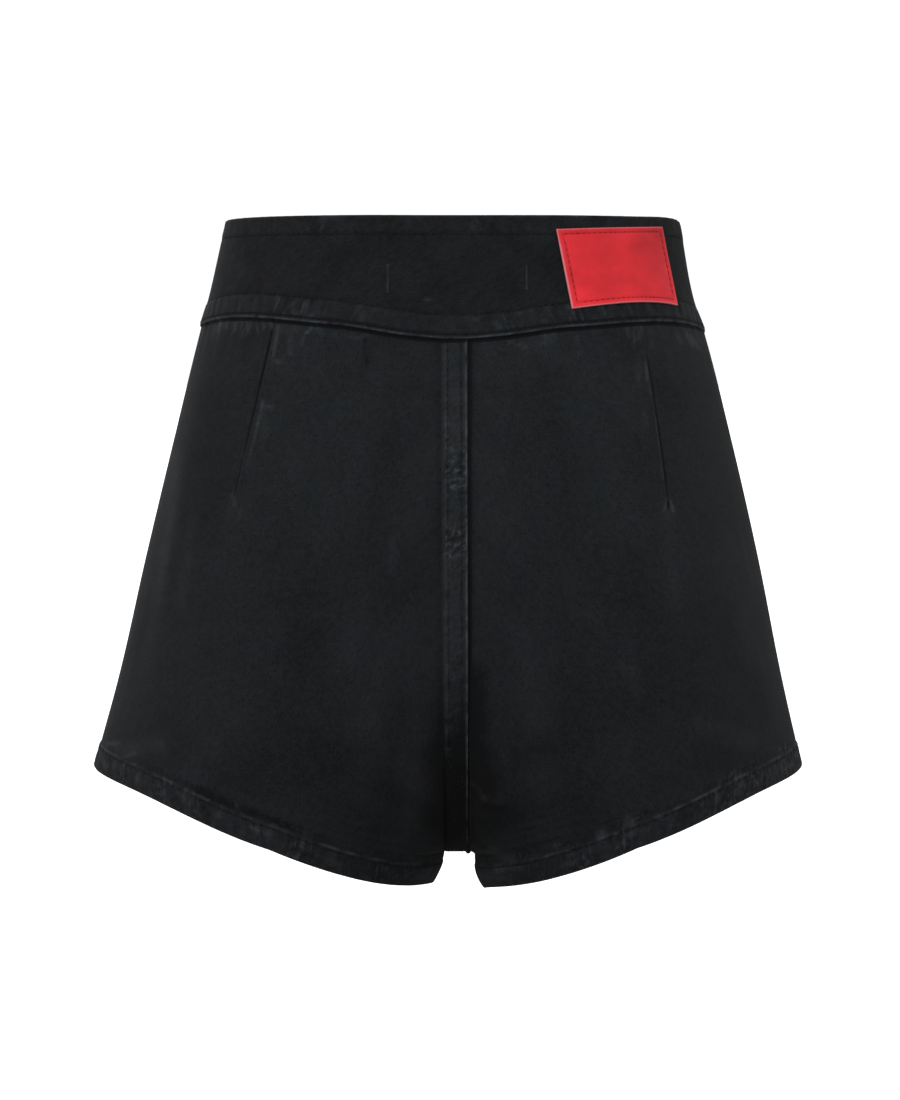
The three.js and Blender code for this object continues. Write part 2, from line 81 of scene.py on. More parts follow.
CLOTH = 1.4
HEM = {"height": 12, "step": 0.7, "blend": 0.9, "out": 0.6, "in": 2.0, "shade": 14.6}
LAP = {"rise": 1.0, "step": 0.7}
BAND = {"out": 0.9, "in": 1.8}
UNDERLAP = {"end": 3.4, "inward": 3.0, "from": 36, "whole": 9}
DART = {"length": 0.38, "left": (0.345, 0.322), "right": (0.32, 0.341)}
PATCH = {
    "top_inner": 49.6, "top_outer": 102.3, "inner_drop": 6.9, "outer_drop": 5.3,
    "low_inner": 57.2, "low_outer": 110.2, "low_drop": 44.4, "bow": 1.2, "thick": 1.2,
    "wide": 52, "high": 38, "groove": 2.5,
}
FLY_LENGTH = 128
SHIELD = {
    "right": 30, "left": 26, "mean_width": 54, "inward": 6.0, "thick": 1.4,
    "corner_from": 0.8, "corner_cut": 12,
}
BUTTON = {"radius": 8.5, "height": 3.6, "x": 8, "upper": 15, "lower": 43, "stations": 72}
BUTTONHOLE = {"from": 5.0, "to": 25.0, "stitches": 23, "half_slit": 1.3}
ZIP = {"chain_inside": 2.4, "chain_outside": 2.7, "tooth_pitch": 2.6, "rib_pitch": 0.9}

# Sections from the waist edge down: half widths, depths to the back and the front, how far the
# section keeps straight at the side, its fullest place and its slope there

SECTIONS = {
    "drop": (0, 41, 57, 110, 172, 230, 277),
    "left": (115.3, 124.1, 128.8, 142.1, 157.3, 170.8, 184),
    "right": (113.8, 121.2, 126.9, 140.7, 155, 166.6, 177.3),
    "back": (88, 93.6, 96, 110, 118, 114, 106),
    "front": (85, 90, 92, 99, 102, 101, 98),
    "side_turn": (33, 36, 37, 42, 42, 36, 28),
    "fullest": (0.44, 0.44, 0.44, 0.45, 0.46, 0.48, 0.5),
    "crown": (0.24, 0.18, 0.16, 0.05, 0, 0, 0),
}
WAIST_EDGE = {
    "across": (0, 0.05, 0.12, 0.3, 1),
    "back_left": (1.6, 1.1, 0.6, 0, 0),
    "back_right": (4.4, 1.8, 0.3, 0, 0),
    "front_left": (1.6, 1.1, 0.6, 0, 0),
    "front_right": (4.4, 1.8, 0.3, 0, 0),
}
WAIST_SEAM = {
    "across": (0, 0.25, 0.5, 0.75, 1),
    "back_left": (55.5, 50.5, 54.3, 58.3, 61),
    "back_right": (58.5, 52.7, 55.3, 58.6, 61),
    "front_left": (55.5, 54, 55, 57, 58),
    "front_right": (58.5, 56, 56, 57, 58),
}
HEM_LINE = {
    "across": (0, 0.25, 0.5, 0.75, 1),
    "back_left": (278.2, 288.3, 311.4, 331.3, 339.2),
    "back_right": (278, 288, 310.6, 330.9, 342),
    "front_left": (278.2, 288.3, 308, 328, 339.2),
    "front_right": (278, 288.5, 307, 327.5, 342),
}

# Soft troughs: x from the centre outwards and drop of both ends, depth (a ridge where it is
# negative) and half width

TROUGHS = {
    "back_right": [
        (8, 306, 34, 292, 1.6, 6), (10, 286, 44, 262, 1.2, 8),
        (9, 299, 30, 299, 0.7, 3), (10, 311, 26, 303, 0.6, 2.5),
        (40, 264, 92, 236, 0.7, 12), (96, 66, 104, 92, 0.5, 5),
        (84, 62, 86, 80, 0.4, 4), (66, 172, 60, 200, 0.35, 5),
    ],
    "back_left": [
        (8, 300, 38, 278, 1.4, 7), (9, 312, 24, 304, 0.5, 3),
        (44, 274, 96, 240, 0.7, 12), (118, 96, 136, 200, 0.6, 9),
        (101, 60, 110, 84, 0.5, 4), (62, 60, 57, 84, 0.45, 5),
        (128, 120, 147, 215, 0.5, 5),
    ],
    "front_right": [
        (8, 300, 60, 262, 2.0, 8), (10, 272, 52, 236, 1.2, 8),
        (10, 286, 30, 282, 0.7, 3), (12, 310, 34, 298, 0.7, 3),
    ],
    "front_left": [
        (8, 296, 54, 256, 1.8, 8), (10, 308, 30, 296, 0.7, 3), (12, 280, 40, 268, 0.6, 4),
    ],
}

# Places painted paler, partly as wear and partly as highlight on puckers and creases, or darker
# as painted shade in creases and beside the seam where the amount is negative: x from the centre
# outwards and drop of both ends, amount and half width

PALE_MARKS_AND_SHADE = {
    "back_left": [
        (75.6, 64.5, 75.6, 62.0, 0.26, 0.7), (75.6, 62.0, 73.1, 57.9, 0.30, 0.7),
        (73.1, 57.9, 70.7, 55.5, 0.34, 0.7), (70.7, 55.5, 67.4, 55.4, 0.26, 0.7),
        (67.4, 55.4, 65.0, 58.0, 0.20, 0.8), (60.5, 58.0, 55.5, 60.5, 0.14, 0.9),
        (52.0, 60.0, 46.0, 61.0, 0.12, 0.8), (95.0, 51.5, 94.4, 55.5, 0.26, 0.7),
        (98.4, 51.0, 97.6, 58.0, 0.34, 0.6), (101.0, 51.5, 101.6, 55.0, 0.26, 0.9),
        (103.4, 51.0, 103.0, 57.5, 0.46, 0.7), (106.2, 51.0, 105.2, 60.0, 0.30, 0.6),
        (108.8, 51.0, 109.8, 56.5, 0.40, 0.8), (111.0, 52.0, 110.6, 58.5, 0.24, 0.6),
        (113.6, 51.0, 114.0, 55.5, 0.52, 1.0), (117.0, 51.5, 118.6, 57.0, 0.40, 0.9),
        (120.5, 53.0, 121.5, 61.0, 0.24, 1.2), (91.2, 52.0, 89.8, 55.5, 0.42, 0.9),
        (44.0, 61, 43.5, 72, -0.16, 1.0), (87.1, 54.5, 88.3, 61.5, 0.40, 0.7),
        (88.3, 61.5, 89.8, 69.5, 0.30, 0.7), (90.0, 71.8, 84.0, 71.8, 0.22, 1.2),
        (81.0, 60.0, 81.2, 67.0, 0.16, 1.5), (86.0, 56.0, 76.5, 56.5, 0.10, 2.2),
        (94.6, 91.5, 96.8, 102.7, 0.38, 0.7), (96.8, 102.7, 98.7, 111.0, 0.34, 0.7),
        (98.7, 111.0, 102.2, 123.0, 0.30, 0.6), (94.2, 94.0, 90.0, 94.4, 0.24, 1.2),
        (94.6, 99.0, 92.4, 108.0, 0.12, 2.2), (109.3, 137.0, 108.3, 141.8, 0.22, 1.0),
        (105.2, 145.0, 106.2, 149.0, 0.14, 1.2), (139.0, 120, 147.0, 190, 0.16, 3.5),
        (130.0, 150, 137.0, 195, 0.08, 3.0), (146.0, 262, 168.0, 268, 0.14, 4.0),
        (120.0, 262, 134.0, 280, 0.07, 7.0), (30.0, 158, 30.5, 172, 0.08, 1.6),
        (12.0, 262, 13.0, 300, -0.10, 4.5), (18.0, 285, 26.0, 305, 0.09, 11.0),
        (168.0, 264.5, 176.5, 266.5, 0.34, 1.1), (160.0, 268.5, 166.0, 271.0, 0.26, 0.9),
    ],
    "back_right": [
        (8.0, 279.5, 14.0, 287.5, 0.36, 1.4), (14.0, 287.5, 22.0, 289.0, 0.08, 1.8),
        (10.0, 291, 24.0, 292.5, -0.4, 1.5), (18.0, 316, 28.0, 320, 0.34, 2.2),
        (10.0, 313, 15.0, 315, -0.3, 1.6), (20.6, 326, 20.2, 331, 0.50, 0.6),
        (23.0, 325.5, 22.7, 330.5, 0.55, 0.6), (25.4, 325, 25.2, 329.5, 0.45, 0.6),
        (28.2, 324, 28.0, 328.5, 0.50, 0.7), (31.5, 323.5, 31.4, 327.5, 0.30, 0.8),
        (27.0, 62.5, 34.0, 64.5, 0.18, 0.8), (34.0, 64.5, 45.0, 62.5, 0.20, 0.9),
        (40.0, 66.0, 46.0, 69.0, 0.14, 0.9), (85.0, 55.5, 86.5, 60.0, 0.26, 0.8),
        (88.5, 55.5, 89.0, 62.0, 0.22, 0.8), (92.0, 56, 91.0, 61, 0.18, 1.0),
        (116.0, 58.5, 119.0, 64.0, 0.42, 0.9), (119.0, 60.0, 122.5, 66.0, 0.46, 0.9),
        (111.0, 58.0, 113.0, 63.0, 0.22, 1.0), (94.4, 72.4, 94.9, 80.7, 0.34, 0.8),
        (94.9, 80.7, 96.6, 87.5, 0.26, 0.7), (90.5, 73.4, 91.0, 83.2, 0.12, 1.6),
        (93.2, 97.9, 94.6, 103.0, 0.16, 1.3), (98.9, 100.3, 100.0, 112.5, 0.22, 0.6),
        (100.0, 112.5, 102.0, 129.6, 0.20, 0.6), (103.9, 139.4, 102.5, 144.7, 0.30, 0.7),
        (105.7, 140.8, 107.3, 145.4, 0.42, 0.8), (104.4, 140.6, 104.8, 143.0, -0.5, 0.7),
        (97.0, 57, 98.0, 64, 0.12, 1.4), (60.0, 60, 61.0, 68, 0.12, 1.4),
        (11.0, 225, 13.0, 285, -0.14, 7.0), (120.0, 250, 150.0, 262, 0.10, 5.0),
        (84.0, 214, 88.0, 232, 0.06, 4.0), (104.0, 150, 108.0, 190, 0.05, 4.0),
    ],
    "front_right": [
        (10.0, 290, 30.0, 298, 0.12, 2.0), (100.0, 60, 104.0, 72, 0.2, 1.8),
    ],
    "front_left": [
        (12.0, 292, 34.0, 298, 0.12, 2.0), (100.0, 58, 104.0, 70, 0.2, 1.8),
    ],
}

# Stitch rows, as distances from the edge that each follows

BAND_ROWS = {"upper": 9.5, "lower": 12.0, "edge": 2.1}
LAP_ROWS = (2.2, 8.9)
LAP_SEWN = {"top": 0.004, "hip": 0.41, "end": 0.935}  # v of the rows' places
HEM_ROW = 10.6
FLY_ROWS = {"away": (34.0, 40.0), "top": 59.5, "bottom": 178.0, "turn": 38}
BARS = {"left": (32.8, 25.0, 38.5), "right": (35.2, 25.5, 37.5)}  # from the middle, top and low end
BAR_PITCH = 0.55

# Stage: the floor, lens and sensor in millimetres, and places in metres

FLOOR = {"reach": 60000.0, "drop": 900.0}
LIGHT_AIM = (0, 0, -0.16)
CAMERA = {"lens": 167.0, "sensor": 36.0, "eye": (0.0023, 2.6, -0.050), "aim": (0.0023, 0.0, -0.1688)}

SIDES = {"left": 1, "right": -1}
FACES = {"back": 1, "front": -1}
QUARTERS = [(face, side) for face in FACES for side in SIDES]

# Settings that a user would change


def length_property(name, description, default, low, high):
    """A length setting with its default and limits, given in millimetres."""
    return FloatProperty(
        name=name, description=description, default=default * MM, min=low * MM, max=high * MM,
        subtype="DISTANCE", unit="LENGTH")


class ShortsSizes(bpy.types.PropertyGroup):
    """Sizes of the finer forms of the cloth and the stitching."""

    unevenness: length_property(
        "Unevenness", "How far the cloth strays from its smooth form", 0.55, 0.0, 2)
    roping: length_property(
        "Roping", "Height of the slanted ripples along hems and bands", 0.42, 0.0, 1)
    puckers: length_property(
        "Puckers", "Height of the small gathers under the waist seam", 0.5, 0.0, 1.5)
    stitch_length: length_property(
        "Stitch length", "Length of one stitch", 2.5, 1, 5)
    stitch_gap: length_property(
        "Stitch gap", "Gap between two stitches of a row", 0.7, 0.2, 2)
    thread_radius: length_property(
        "Thread radius", "Half the thickness of the sewing thread", 0.2, 0.1, 0.6)


def colour_property(name, description, default):
    """A colour setting with its default, from 0 to 1 in linear light."""
    return FloatVectorProperty(
        name=name, description=description, default=default, size=3, min=0.0, max=1.0, subtype="COLOR")


class ShortsColours(bpy.types.PropertyGroup):
    """Colours of the cloth, thread, leather and metal."""

    denim: colour_property("Denim", "Dye of the cloth's outer face", (0.0046, 0.0050, 0.0057))
    # The worn colour is also the pale end of the painted highlights on crests and edges.
    worn: colour_property("Worn denim", "Cloth where the dye has rubbed off", (0.078, 0.087, 0.098))
    inner: colour_property("Inner face", "Cloth's undyed side, seen inside", (0.045, 0.0465, 0.049))
    thread: colour_property("Thread", "Sewing thread", (0.0048, 0.0051, 0.0057))
    leather: colour_property("Leather", "Face of the patch", (0.62, 0.022, 0.030))
    leather_edge: colour_property("Leather edge", "Cut edges of the patch", (0.62, 0.20, 0.23))
    metal: colour_property("Metal", "Buttons, zip chain and slider", (0.16, 0.155, 0.15))
    tape: colour_property("Tape", "Zip tape", (0.008, 0.008, 0.009))


# Curves and noise


def hermite(table, column, at):
    """Values of a table's column at any place: a cubic between two rows that keeps each row's
    slope, which is the mean of the slopes on both its sides."""
    key = "drop" if "drop" in table else "across"
    xs, ys = np.array(table[key], float), np.array(table[column], float)
    slopes = np.diff(ys) / np.diff(xs)
    tangents = np.concatenate([slopes[:1], (slopes[1:] + slopes[:-1]) / 2, slopes[-1:]])
    i = np.clip(np.searchsorted(xs, at, side="left") - 1, 0, len(xs) - 2)
    span = xs[i + 1] - xs[i]
    t = (at - xs[i]) / span
    return (ys[i] + (ys[i + 1] - ys[i]) * t * t * (3 - 2 * t)
            + span * tangents[i] * t * (1 - t) ** 2 - span * tangents[i + 1] * t * t * (1 - t))


def mix(a, b, t):
    """Straight blend: a where t is 0, b where it is 1."""
    return a + (b - a) * t


def ease(t):
    """Smooth step: 0 below 0, 1 above 1, and 3 t squared minus 2 t cubed between."""
    held = np.clip(t, 0, 1)
    return held * held * (3 - 2 * held)


def bump(distance, half):
    """Bell curve: 1 on the line and e to the minus square of distance over half width beside it."""
    return np.exp(-((distance / half) ** 2))


def bezier(a, b, c, d, t):
    """Cubic Bezier curve of four values."""
    s = 1 - t
    return a * s ** 3 + 3 * b * s * s * t + 3 * c * s * t * t + d * t ** 3


LATTICE = 128


def noise(seed, x, y=0.0):
    """Soft noise from -1 to 1: seeded random heights on a square lattice, blended with eased
    weights between the four lattice points round each place."""
    lattice = np.random.default_rng(seed).uniform(-1, 1, (LATTICE, LATTICE))
    x, y = np.broadcast_arrays(np.asarray(x, float), np.asarray(y, float))
    left, low = np.floor(x).astype(int), np.floor(y).astype(int)
    across, up = ease(x - left), ease(y - low)
    at = lambda i, j: lattice[(left + i) % LATTICE, (low + j) % LATTICE]
    return mix(mix(at(0, 0), at(1, 0), across), mix(at(0, 1), at(1, 1), across), up)


def running(steps):
    """Running total of steps, from 0."""
    return np.concatenate([[0], np.cumsum(steps)])


def from_line(x, drop, x1, drop1, x2, drop2):
    """(distance, share) of places from a short line: the distance to its nearest point, and how far
    along the line that point lies, held between its ends."""
    dx, dz = x2 - x1, drop2 - drop1
    t = np.clip(((x - x1) * dx + (drop - drop1) * dz) / (dx * dx + dz * dz), 0, 1)
    return np.hypot(x - x1 - t * dx, drop - drop1 - t * dz), t


# The garment's surface


def seam_drop(face, side, u):
    """Drop of the waist seam across a quarter of the garment."""
    return hermite(WAIST_SEAM, f"{face}_{side}", np.minimum(u, 1))


def hem_drop(face, side, u):
    """Drop of the hem across a quarter of the garment."""
    return hermite(HEM_LINE, f"{face}_{side}", np.minimum(u, 1))


def edge_drop(face, side, u):
    """Drop of the waistband's top edge across a quarter of the garment."""
    return hermite(WAIST_EDGE, f"{face}_{side}", np.minimum(u, 1))


def drop_at(face, side, u, v):
    """Drop of a place: straight from the waist edge to the seam, and from there to the hem."""
    seam = seam_drop(face, side, u)
    return np.where(v < 0, mix(edge_drop(face, side, u), seam, 1 + v),
                    mix(seam, hem_drop(face, side, u), v))


def centre_depth(face, drop):
    """Depth of the centre seam: the section's down to the hip, then a rounded quarter that ends at
    the crotch, full depth times (1 - share^n)^(1/n)."""
    full = hermite(SECTIONS, face, np.minimum(drop, HIP_DROP))
    share = np.clip((drop - HIP_DROP) / (CROTCH_DROP - HIP_DROP), 0, 1)
    return full * (1 - share ** CROTCH_FULLNESS) ** (1 / CROTCH_FULLNESS)


def soft_depth(face, drop):
    """Depth of the centre seam near the crotch without its sharp end: the mean of nine depths, from
    a reach above the place to a reach below it."""
    reach = SOFT_TURN["reach"]
    return sum(centre_depth(face, drop + away) for away in np.linspace(-reach, reach, 9)) / 9


def surface(face, side, u, v):
    """Points of the garment's outer surface. Each level section is two cubic curves, one from the
    side to the fullest point and one from there to the centre, whose end turns inwards as the row
    nears the crotch, more softly the further it is from the seam. Past the centre edge a row runs
    straight across the lap."""
    u, v = np.broadcast_arrays(np.asarray(u, float), np.asarray(v, float))
    level = np.where(v < 0, SIDE_BAND_DROP * (1 + v), mix(SIDE_BAND_DROP, SIDE_HEM_DROP, v))
    drop = drop_at(face, side, u, v)
    half = hermite(SECTIONS, side, level)
    full_x = half * hermite(SECTIONS, "fullest", level)
    crown = hermite(SECTIONS, "crown", level)
    turn = hermite(SECTIONS, "side_turn", level)
    full_y = hermite(SECTIONS, face, level) - crown * full_x / 2
    end_drop = drop_at(face, side, np.ones_like(u), v)
    end_hem = hem_drop(face, side, 1.0)
    below = np.maximum(0, (end_drop - CROTCH_DROP) / (end_hem - CROTCH_DROP))
    start, spread, power = INSEAM[side]
    end_x = mix(LAP_WIDTH / 2, start, ease(below / INSEAM_TURN)) + (spread - start) * below ** power
    end_y = centre_depth(face, end_drop)
    soften = ease((end_drop - SOFT_TURN["from"]) / SOFT_TURN["over"]) * (1 - ease((u - 0.8) / 0.2))
    drawn_y = mix(end_y, soft_depth(face, end_drop), soften)
    reach = (half - full_x) / 2
    outer_x = bezier(half, half, full_x + reach, full_x, u * 2)
    outer_y = bezier(0, turn, full_y - crown * reach, full_y, u * 2)
    reach = np.hypot(full_x - end_x, full_y - drawn_y) * HANDLE
    start = (full_x - end_x) * HANDLE
    turned = ease((end_drop - HIP_DROP - TURN_FROM) / (CROTCH_DROP - HIP_DROP - TURN_FROM))
    angle = turned * math.pi / 2
    t = u * 2 - 1
    inner_x = bezier(full_x, full_x - start, end_x + np.cos(angle) * reach, end_x, t)
    inner_y = bezier(full_y, full_y + crown * start, drawn_y + np.sin(angle) * reach, drawn_y, t)
    x = np.where(u < 0.5, outer_x, np.where(u <= 1, inner_x, end_x - (u - 1) * LAP_WIDTH))
    y = np.where(u < 0.5, outer_y, np.where(u <= 1, inner_y, end_y))
    lean = CENTRE_LEAN * drop / CROTCH_DROP * ease(u * 2)
    return np.stack([SIDES[side] * x + lean, FACES[face] * y, -drop], -1)


BESIDE_INSEAM = 0.93


def facing(face, side, u, v, step=0.003):
    """Directions that the surface faces: the cross product of its steps across and down, turned to
    point away from the garment's middle. Beside the inseam, which ends at u of 1, no step passes it."""
    inner = np.where(v > BESIDE_INSEAM, np.minimum(u + step, 1), u + step)
    across = surface(face, side, inner, v) - surface(face, side, u - step, v)
    down = surface(face, side, u, v + step) - surface(face, side, u, v - step)
    normal = np.cross(across, down) * (SIDES[side] * FACES[face])
    normal = normal / np.linalg.norm(normal, axis=-1, keepdims=True)
    outward = np.sign((normal[..., 1] * FACES[face]).mean())
    return normal * outward


HALVINGS = 24


def across_at(face, side, x, v):
    """The u at which a row passes a distance from the middle, by halving the span again and again."""
    low, high = np.zeros_like(x), np.ones_like(x)
    for _ in range(HALVINGS):
        middle = (low + high) / 2
        further = np.abs(surface(face, side, middle, v)[..., 0]) > x
        low, high = np.where(further, middle, low), np.where(further, high, middle)
    return (low + high) / 2


EVEN_U = np.linspace(0, 1, 161)
MEASURED_ROWS = (-1.0, 0.0, 1.0)


def arc_lengths(face, side, v):
    """Lengths along a row from the side seam to each of the even values of u."""
    points = surface(face, side, EVEN_U, np.full_like(EVEN_U, v))
    return running(np.linalg.norm(np.diff(points, axis=0), axis=1))


ARCS = {(face, side, v): arc_lengths(face, side, v) for face, side in QUARTERS for v in MEASURED_ROWS}


def from_side(face, side, u, v):
    """Distance from the side seam along the cloth: a blend of the two nearest measured rows, and
    the lap's own width past the centre edge."""
    edge, seam, hem = (np.interp(u, EVEN_U, ARCS[face, side, row]) for row in MEASURED_ROWS)
    return np.where(v < 0, mix(seam, edge, -v), mix(seam, hem, v)) + np.maximum(u - 1, 0) * LAP_WIDTH


def to_centre(face, side, u, v):
    """Distance along the cloth to the edge of the centre seam or the inseam."""
    return from_side(face, side, np.ones_like(u), v) - from_side(face, side, u, v)


def above_hem(face, side, u, v):
    """Height above the hem."""
    return hem_drop(face, side, u) - drop_at(face, side, u, v)


def hem_share(above):
    """1 on the turned hem and 0 above it, eased over its fold."""
    return 1 - ease((above - HEM["height"] + HEM["step"]) / HEM["blend"])


def even_columns(face, side, spacing, close=()):
    """Values of u from 0 to 1 about a spacing apart along the hip, and closer beside the places in
    close, by giving each stretch of the cloth its own weight and cutting the total evenly."""
    even = np.linspace(0, 1, 801)
    length = np.interp(even, EVEN_U, ARCS[face, side, 0.0])
    weight = np.ones_like(even)
    for place, half, times in close:
        weight += times * bump(even - place, half)
    total = running((weight[1:] + weight[:-1]) / 2 * np.diff(length))
    count = int(round(total[-1] / spacing)) + 1
    return np.interp(np.linspace(0, total[-1], count), total, even)


# Relief, wear and painted light and shade of the cloth. The functions whose names end in detail
# give (rise, wear and painted light), and that of a whole panel (broad rise, fine rise, wear and
# painted light): how far the cloth stands out in millimetres, and how much paler (above 0) or
# darker (below 0) it is, by wear and by painted highlights and shade


def hem_detail(face, side, u, v, sizes):
    """Turned hem: ripples of noise that die away towards the inseam, with paler crests that are partly
    wear and partly painted highlight, a dip along the stitch row with painted shade in it, a rubbed
    fold and edge, upright flecks on the hem and just above it, and a band of painted shade above the
    fold, which is deeper between 55 and 150 mm from the middle of the left side."""
    seed = 11 + 7 * QUARTERS.index((face, side))
    along = from_side(face, side, u, v)
    above = above_hem(face, side, u, v)
    inside = hem_share(above)
    to_inseam = to_centre(face, side, u, v)
    wave = (0.7 * noise(seed, (along + 0.7 * above) / 5.2, above / 9)
            + 0.5 * noise(seed + 1, along / 3.4, above / 4))
    strength = (0.7 + 0.4 * noise(seed + 2, along / 17)) * ease(to_inseam / 30)
    strip = bump(above - 5.5, 5.0) * inside
    dip = bump(above - HEM_ROW, 0.7)
    tail = bump(above - 15, 3.5) * (1 - inside)
    rise = sizes.roping / MM * strength * wave * (strip + 0.5 * tail) - 0.25 * dip
    worn = noise(seed + 3, along / 7) * 0.7 + noise(seed + 4, along / 1.8) * 0.6
    corner = ease((62 - along) / 40)
    fold = np.clip(0.16 + 0.40 * corner + worn, 0, 1)
    x = np.abs(surface(face, side, u, v)[..., 0])
    under = 0.04 + 0.11 * ease((x - 55) / 25) * ease((150 - x) / 30) * (side == "left")
    marks = np.clip(1.7 * noise(seed + 5, along / 2.2, above / 9) - 0.35, 0, 1)
    upper = bump(above - 13.5, 2.8) * ease((along - 60) / 30) * ease((to_inseam - 12) / 20)
    # Paler ripple crests are partly wear and partly painted highlight; the stitch dip and the band above
    # the fold, scaled by under, are painted shade.
    fade = (0.02 * inside + 0.17 * np.clip(wave, -0.4, 1) * strength * strip
            + 0.08 * np.clip(worn, 0, 1) * tail
            + 0.42 * fold * bump(above - HEM["height"], 0.6)
            + marks * ((0.42 if side == "right" else 0.10) * upper + 0.24 * bump(above - 6, 3.2) * inside)
            - under * (1 + 0.8 * worn) * bump(above - HEM["shade"], 2.2)
            + (0.20 + 0.26 * worn + 0.15 * corner) * ease((1.4 - above) / 1.1) - 0.08 * dip)
    return rise, fade


def waist_seam_detail(face, side, u, v, sizes):
    """Puckers below the waist seam: upright ridges of noise that die away downwards, strongest
    towards the sides, with crests painted pale as highlights, and a painted shadow line right under
    the band."""
    seed = 61 + 5 * QUARTERS.index((face, side))
    along = from_side(face, side, u, v)
    below = drop_at(face, side, u, v) - seam_drop(face, side, u)
    ridge = noise(seed, along / 3.6, below / 40) + 0.5 * noise(seed + 1, along / 1.9, below / 30)
    outer = ease((88 - along) / 36)
    place = 0.26 + 0.74 * outer * (0.75 if side == "left" else 0.5) + 0.22 * noise(seed + 2, along / 24)
    reach = np.exp(-np.maximum(below, 0) / (4.5 + 4.5 * outer + 3 * np.abs(noise(seed + 3, along / 5))))
    rise = sizes.puckers / MM * place * ridge * reach
    # Painted highlight on the pucker crests, and a painted shadow line right under the band.
    fade = 0.62 * place * np.clip(ridge - 0.15, 0, 1) * reach - 0.95 * ease((1.8 - below) / 1.1)
    return rise, fade


def ripple_marks(face, side, u, v):
    """Where stitches gather the cloth into ripples, as (strength, distance along the ripples,
    distance across them): along the hem and a band just above it, slanted by the height and weaker
    by the inseam, and down the lap slanted by its width, weaker in its lower part."""
    seed = 31 + 7 * QUARTERS.index((face, side))
    along, drop = from_side(face, side, u, v), drop_at(face, side, u, v)
    above = above_hem(face, side, u, v)
    on_lap = np.maximum(u - 1, 0) * LAP_WIDTH
    to_inseam = to_centre(face, side, u, v)
    hem = ease((HEM["height"] + 0.6 - above) / 1.2) * ease(above / 1.5)
    hem = hem * (0.55 + 0.55 * noise(seed, along / 12))
    over = (1.0 if side == "right" else 0.45) * (0.5 + 0.7 * noise(seed + 1, along / 11))
    hem = np.maximum(hem, over * bump(above - HEM["shade"], 2.6))
    hem = hem * (0.25 + 0.75 * ease((to_inseam - 8) / 30))
    worn = ease((drop - 75) / 60) * (1 - 0.85 * ease((drop - 205) / 50))
    lap = worn * ease(on_lap / 1.5) * ease((LAP_WIDTH - on_lap) / 1.2)
    lap = lap * (0.7 + 0.5 * noise(seed + 2, drop / 16))
    return (np.clip(np.where(u > 1, lap, hem), 0, 1),
            np.where(u > 1, drop + 0.4 * on_lap, along + 0.4 * above),
            np.where(u > 1, on_lap + 40, above))


def pale_marks_and_shade(face, side, u, v):
    """Pale marks, partly wear and partly painted highlight, and painted shade where the amount is
    negative: the sum of each mark's amount times a bell of the distance from its line.
    """
    at = surface(face, side, u, v)
    x, drop = np.abs(at[..., 0]), -at[..., 2]
    total = np.zeros_like(x)
    for x1, drop1, x2, drop2, amount, half in PALE_MARKS_AND_SHADE[f"{face}_{side}"]:
        total += amount * bump(from_line(x, drop, x1, drop1, x2, drop2)[0], half)
    return total * (0.8 + 0.4 * noise(77, x / 3, drop / 4)) * (u < 1.0)


def dart_detail(face, side, u, v):
    """Dart of the back: a stitched groove down the fold with the cloth a little proud on the side
    of the centre, ending in a small pucker at its point. The groove is painted dark as shade, and a
    line beside it on the centre side and the pucker are painted paler as highlight."""
    if face != "back":
        return 0.0, 0.0
    share = np.clip(v / DART["length"], 0, 1)
    line = mix(*DART[side], share)
    scale = (from_side(face, side, line + 0.01, v) - from_side(face, side, line - 0.01, v)) / 0.02
    away = (u - line) * scale
    held = ease((DART["length"] - v) / 0.05) * (v >= 0)
    below = drop_at(face, side, u, v)
    broken = np.clip(0.75 + 0.6 * noise(91 + SIDES[side], below / 5), 0.1, 1.3)
    tip = bump(v - DART["length"] - 0.012, 0.022) * bump(away, 3.5)
    share = v / DART["length"]
    plain = 0.5 * ease((v - 0.05) / 0.04) if side == "right" else 1 - 0.8 * ease((share - 0.5) / 0.25)
    rise = held * (-0.7 * plain * bump(away, 0.65) + 0.28 * bump(away - 1.9, 1.6)) + 0.3 * tip
    # Painted shade in the groove, painted highlight beside it and on the pucker.
    fade = held * (-0.95 * plain * broken * bump(away, 0.55) + 0.10 * broken * bump(away - 1.0, 0.5))
    fade = fade + 0.06 * tip
    return rise, fade


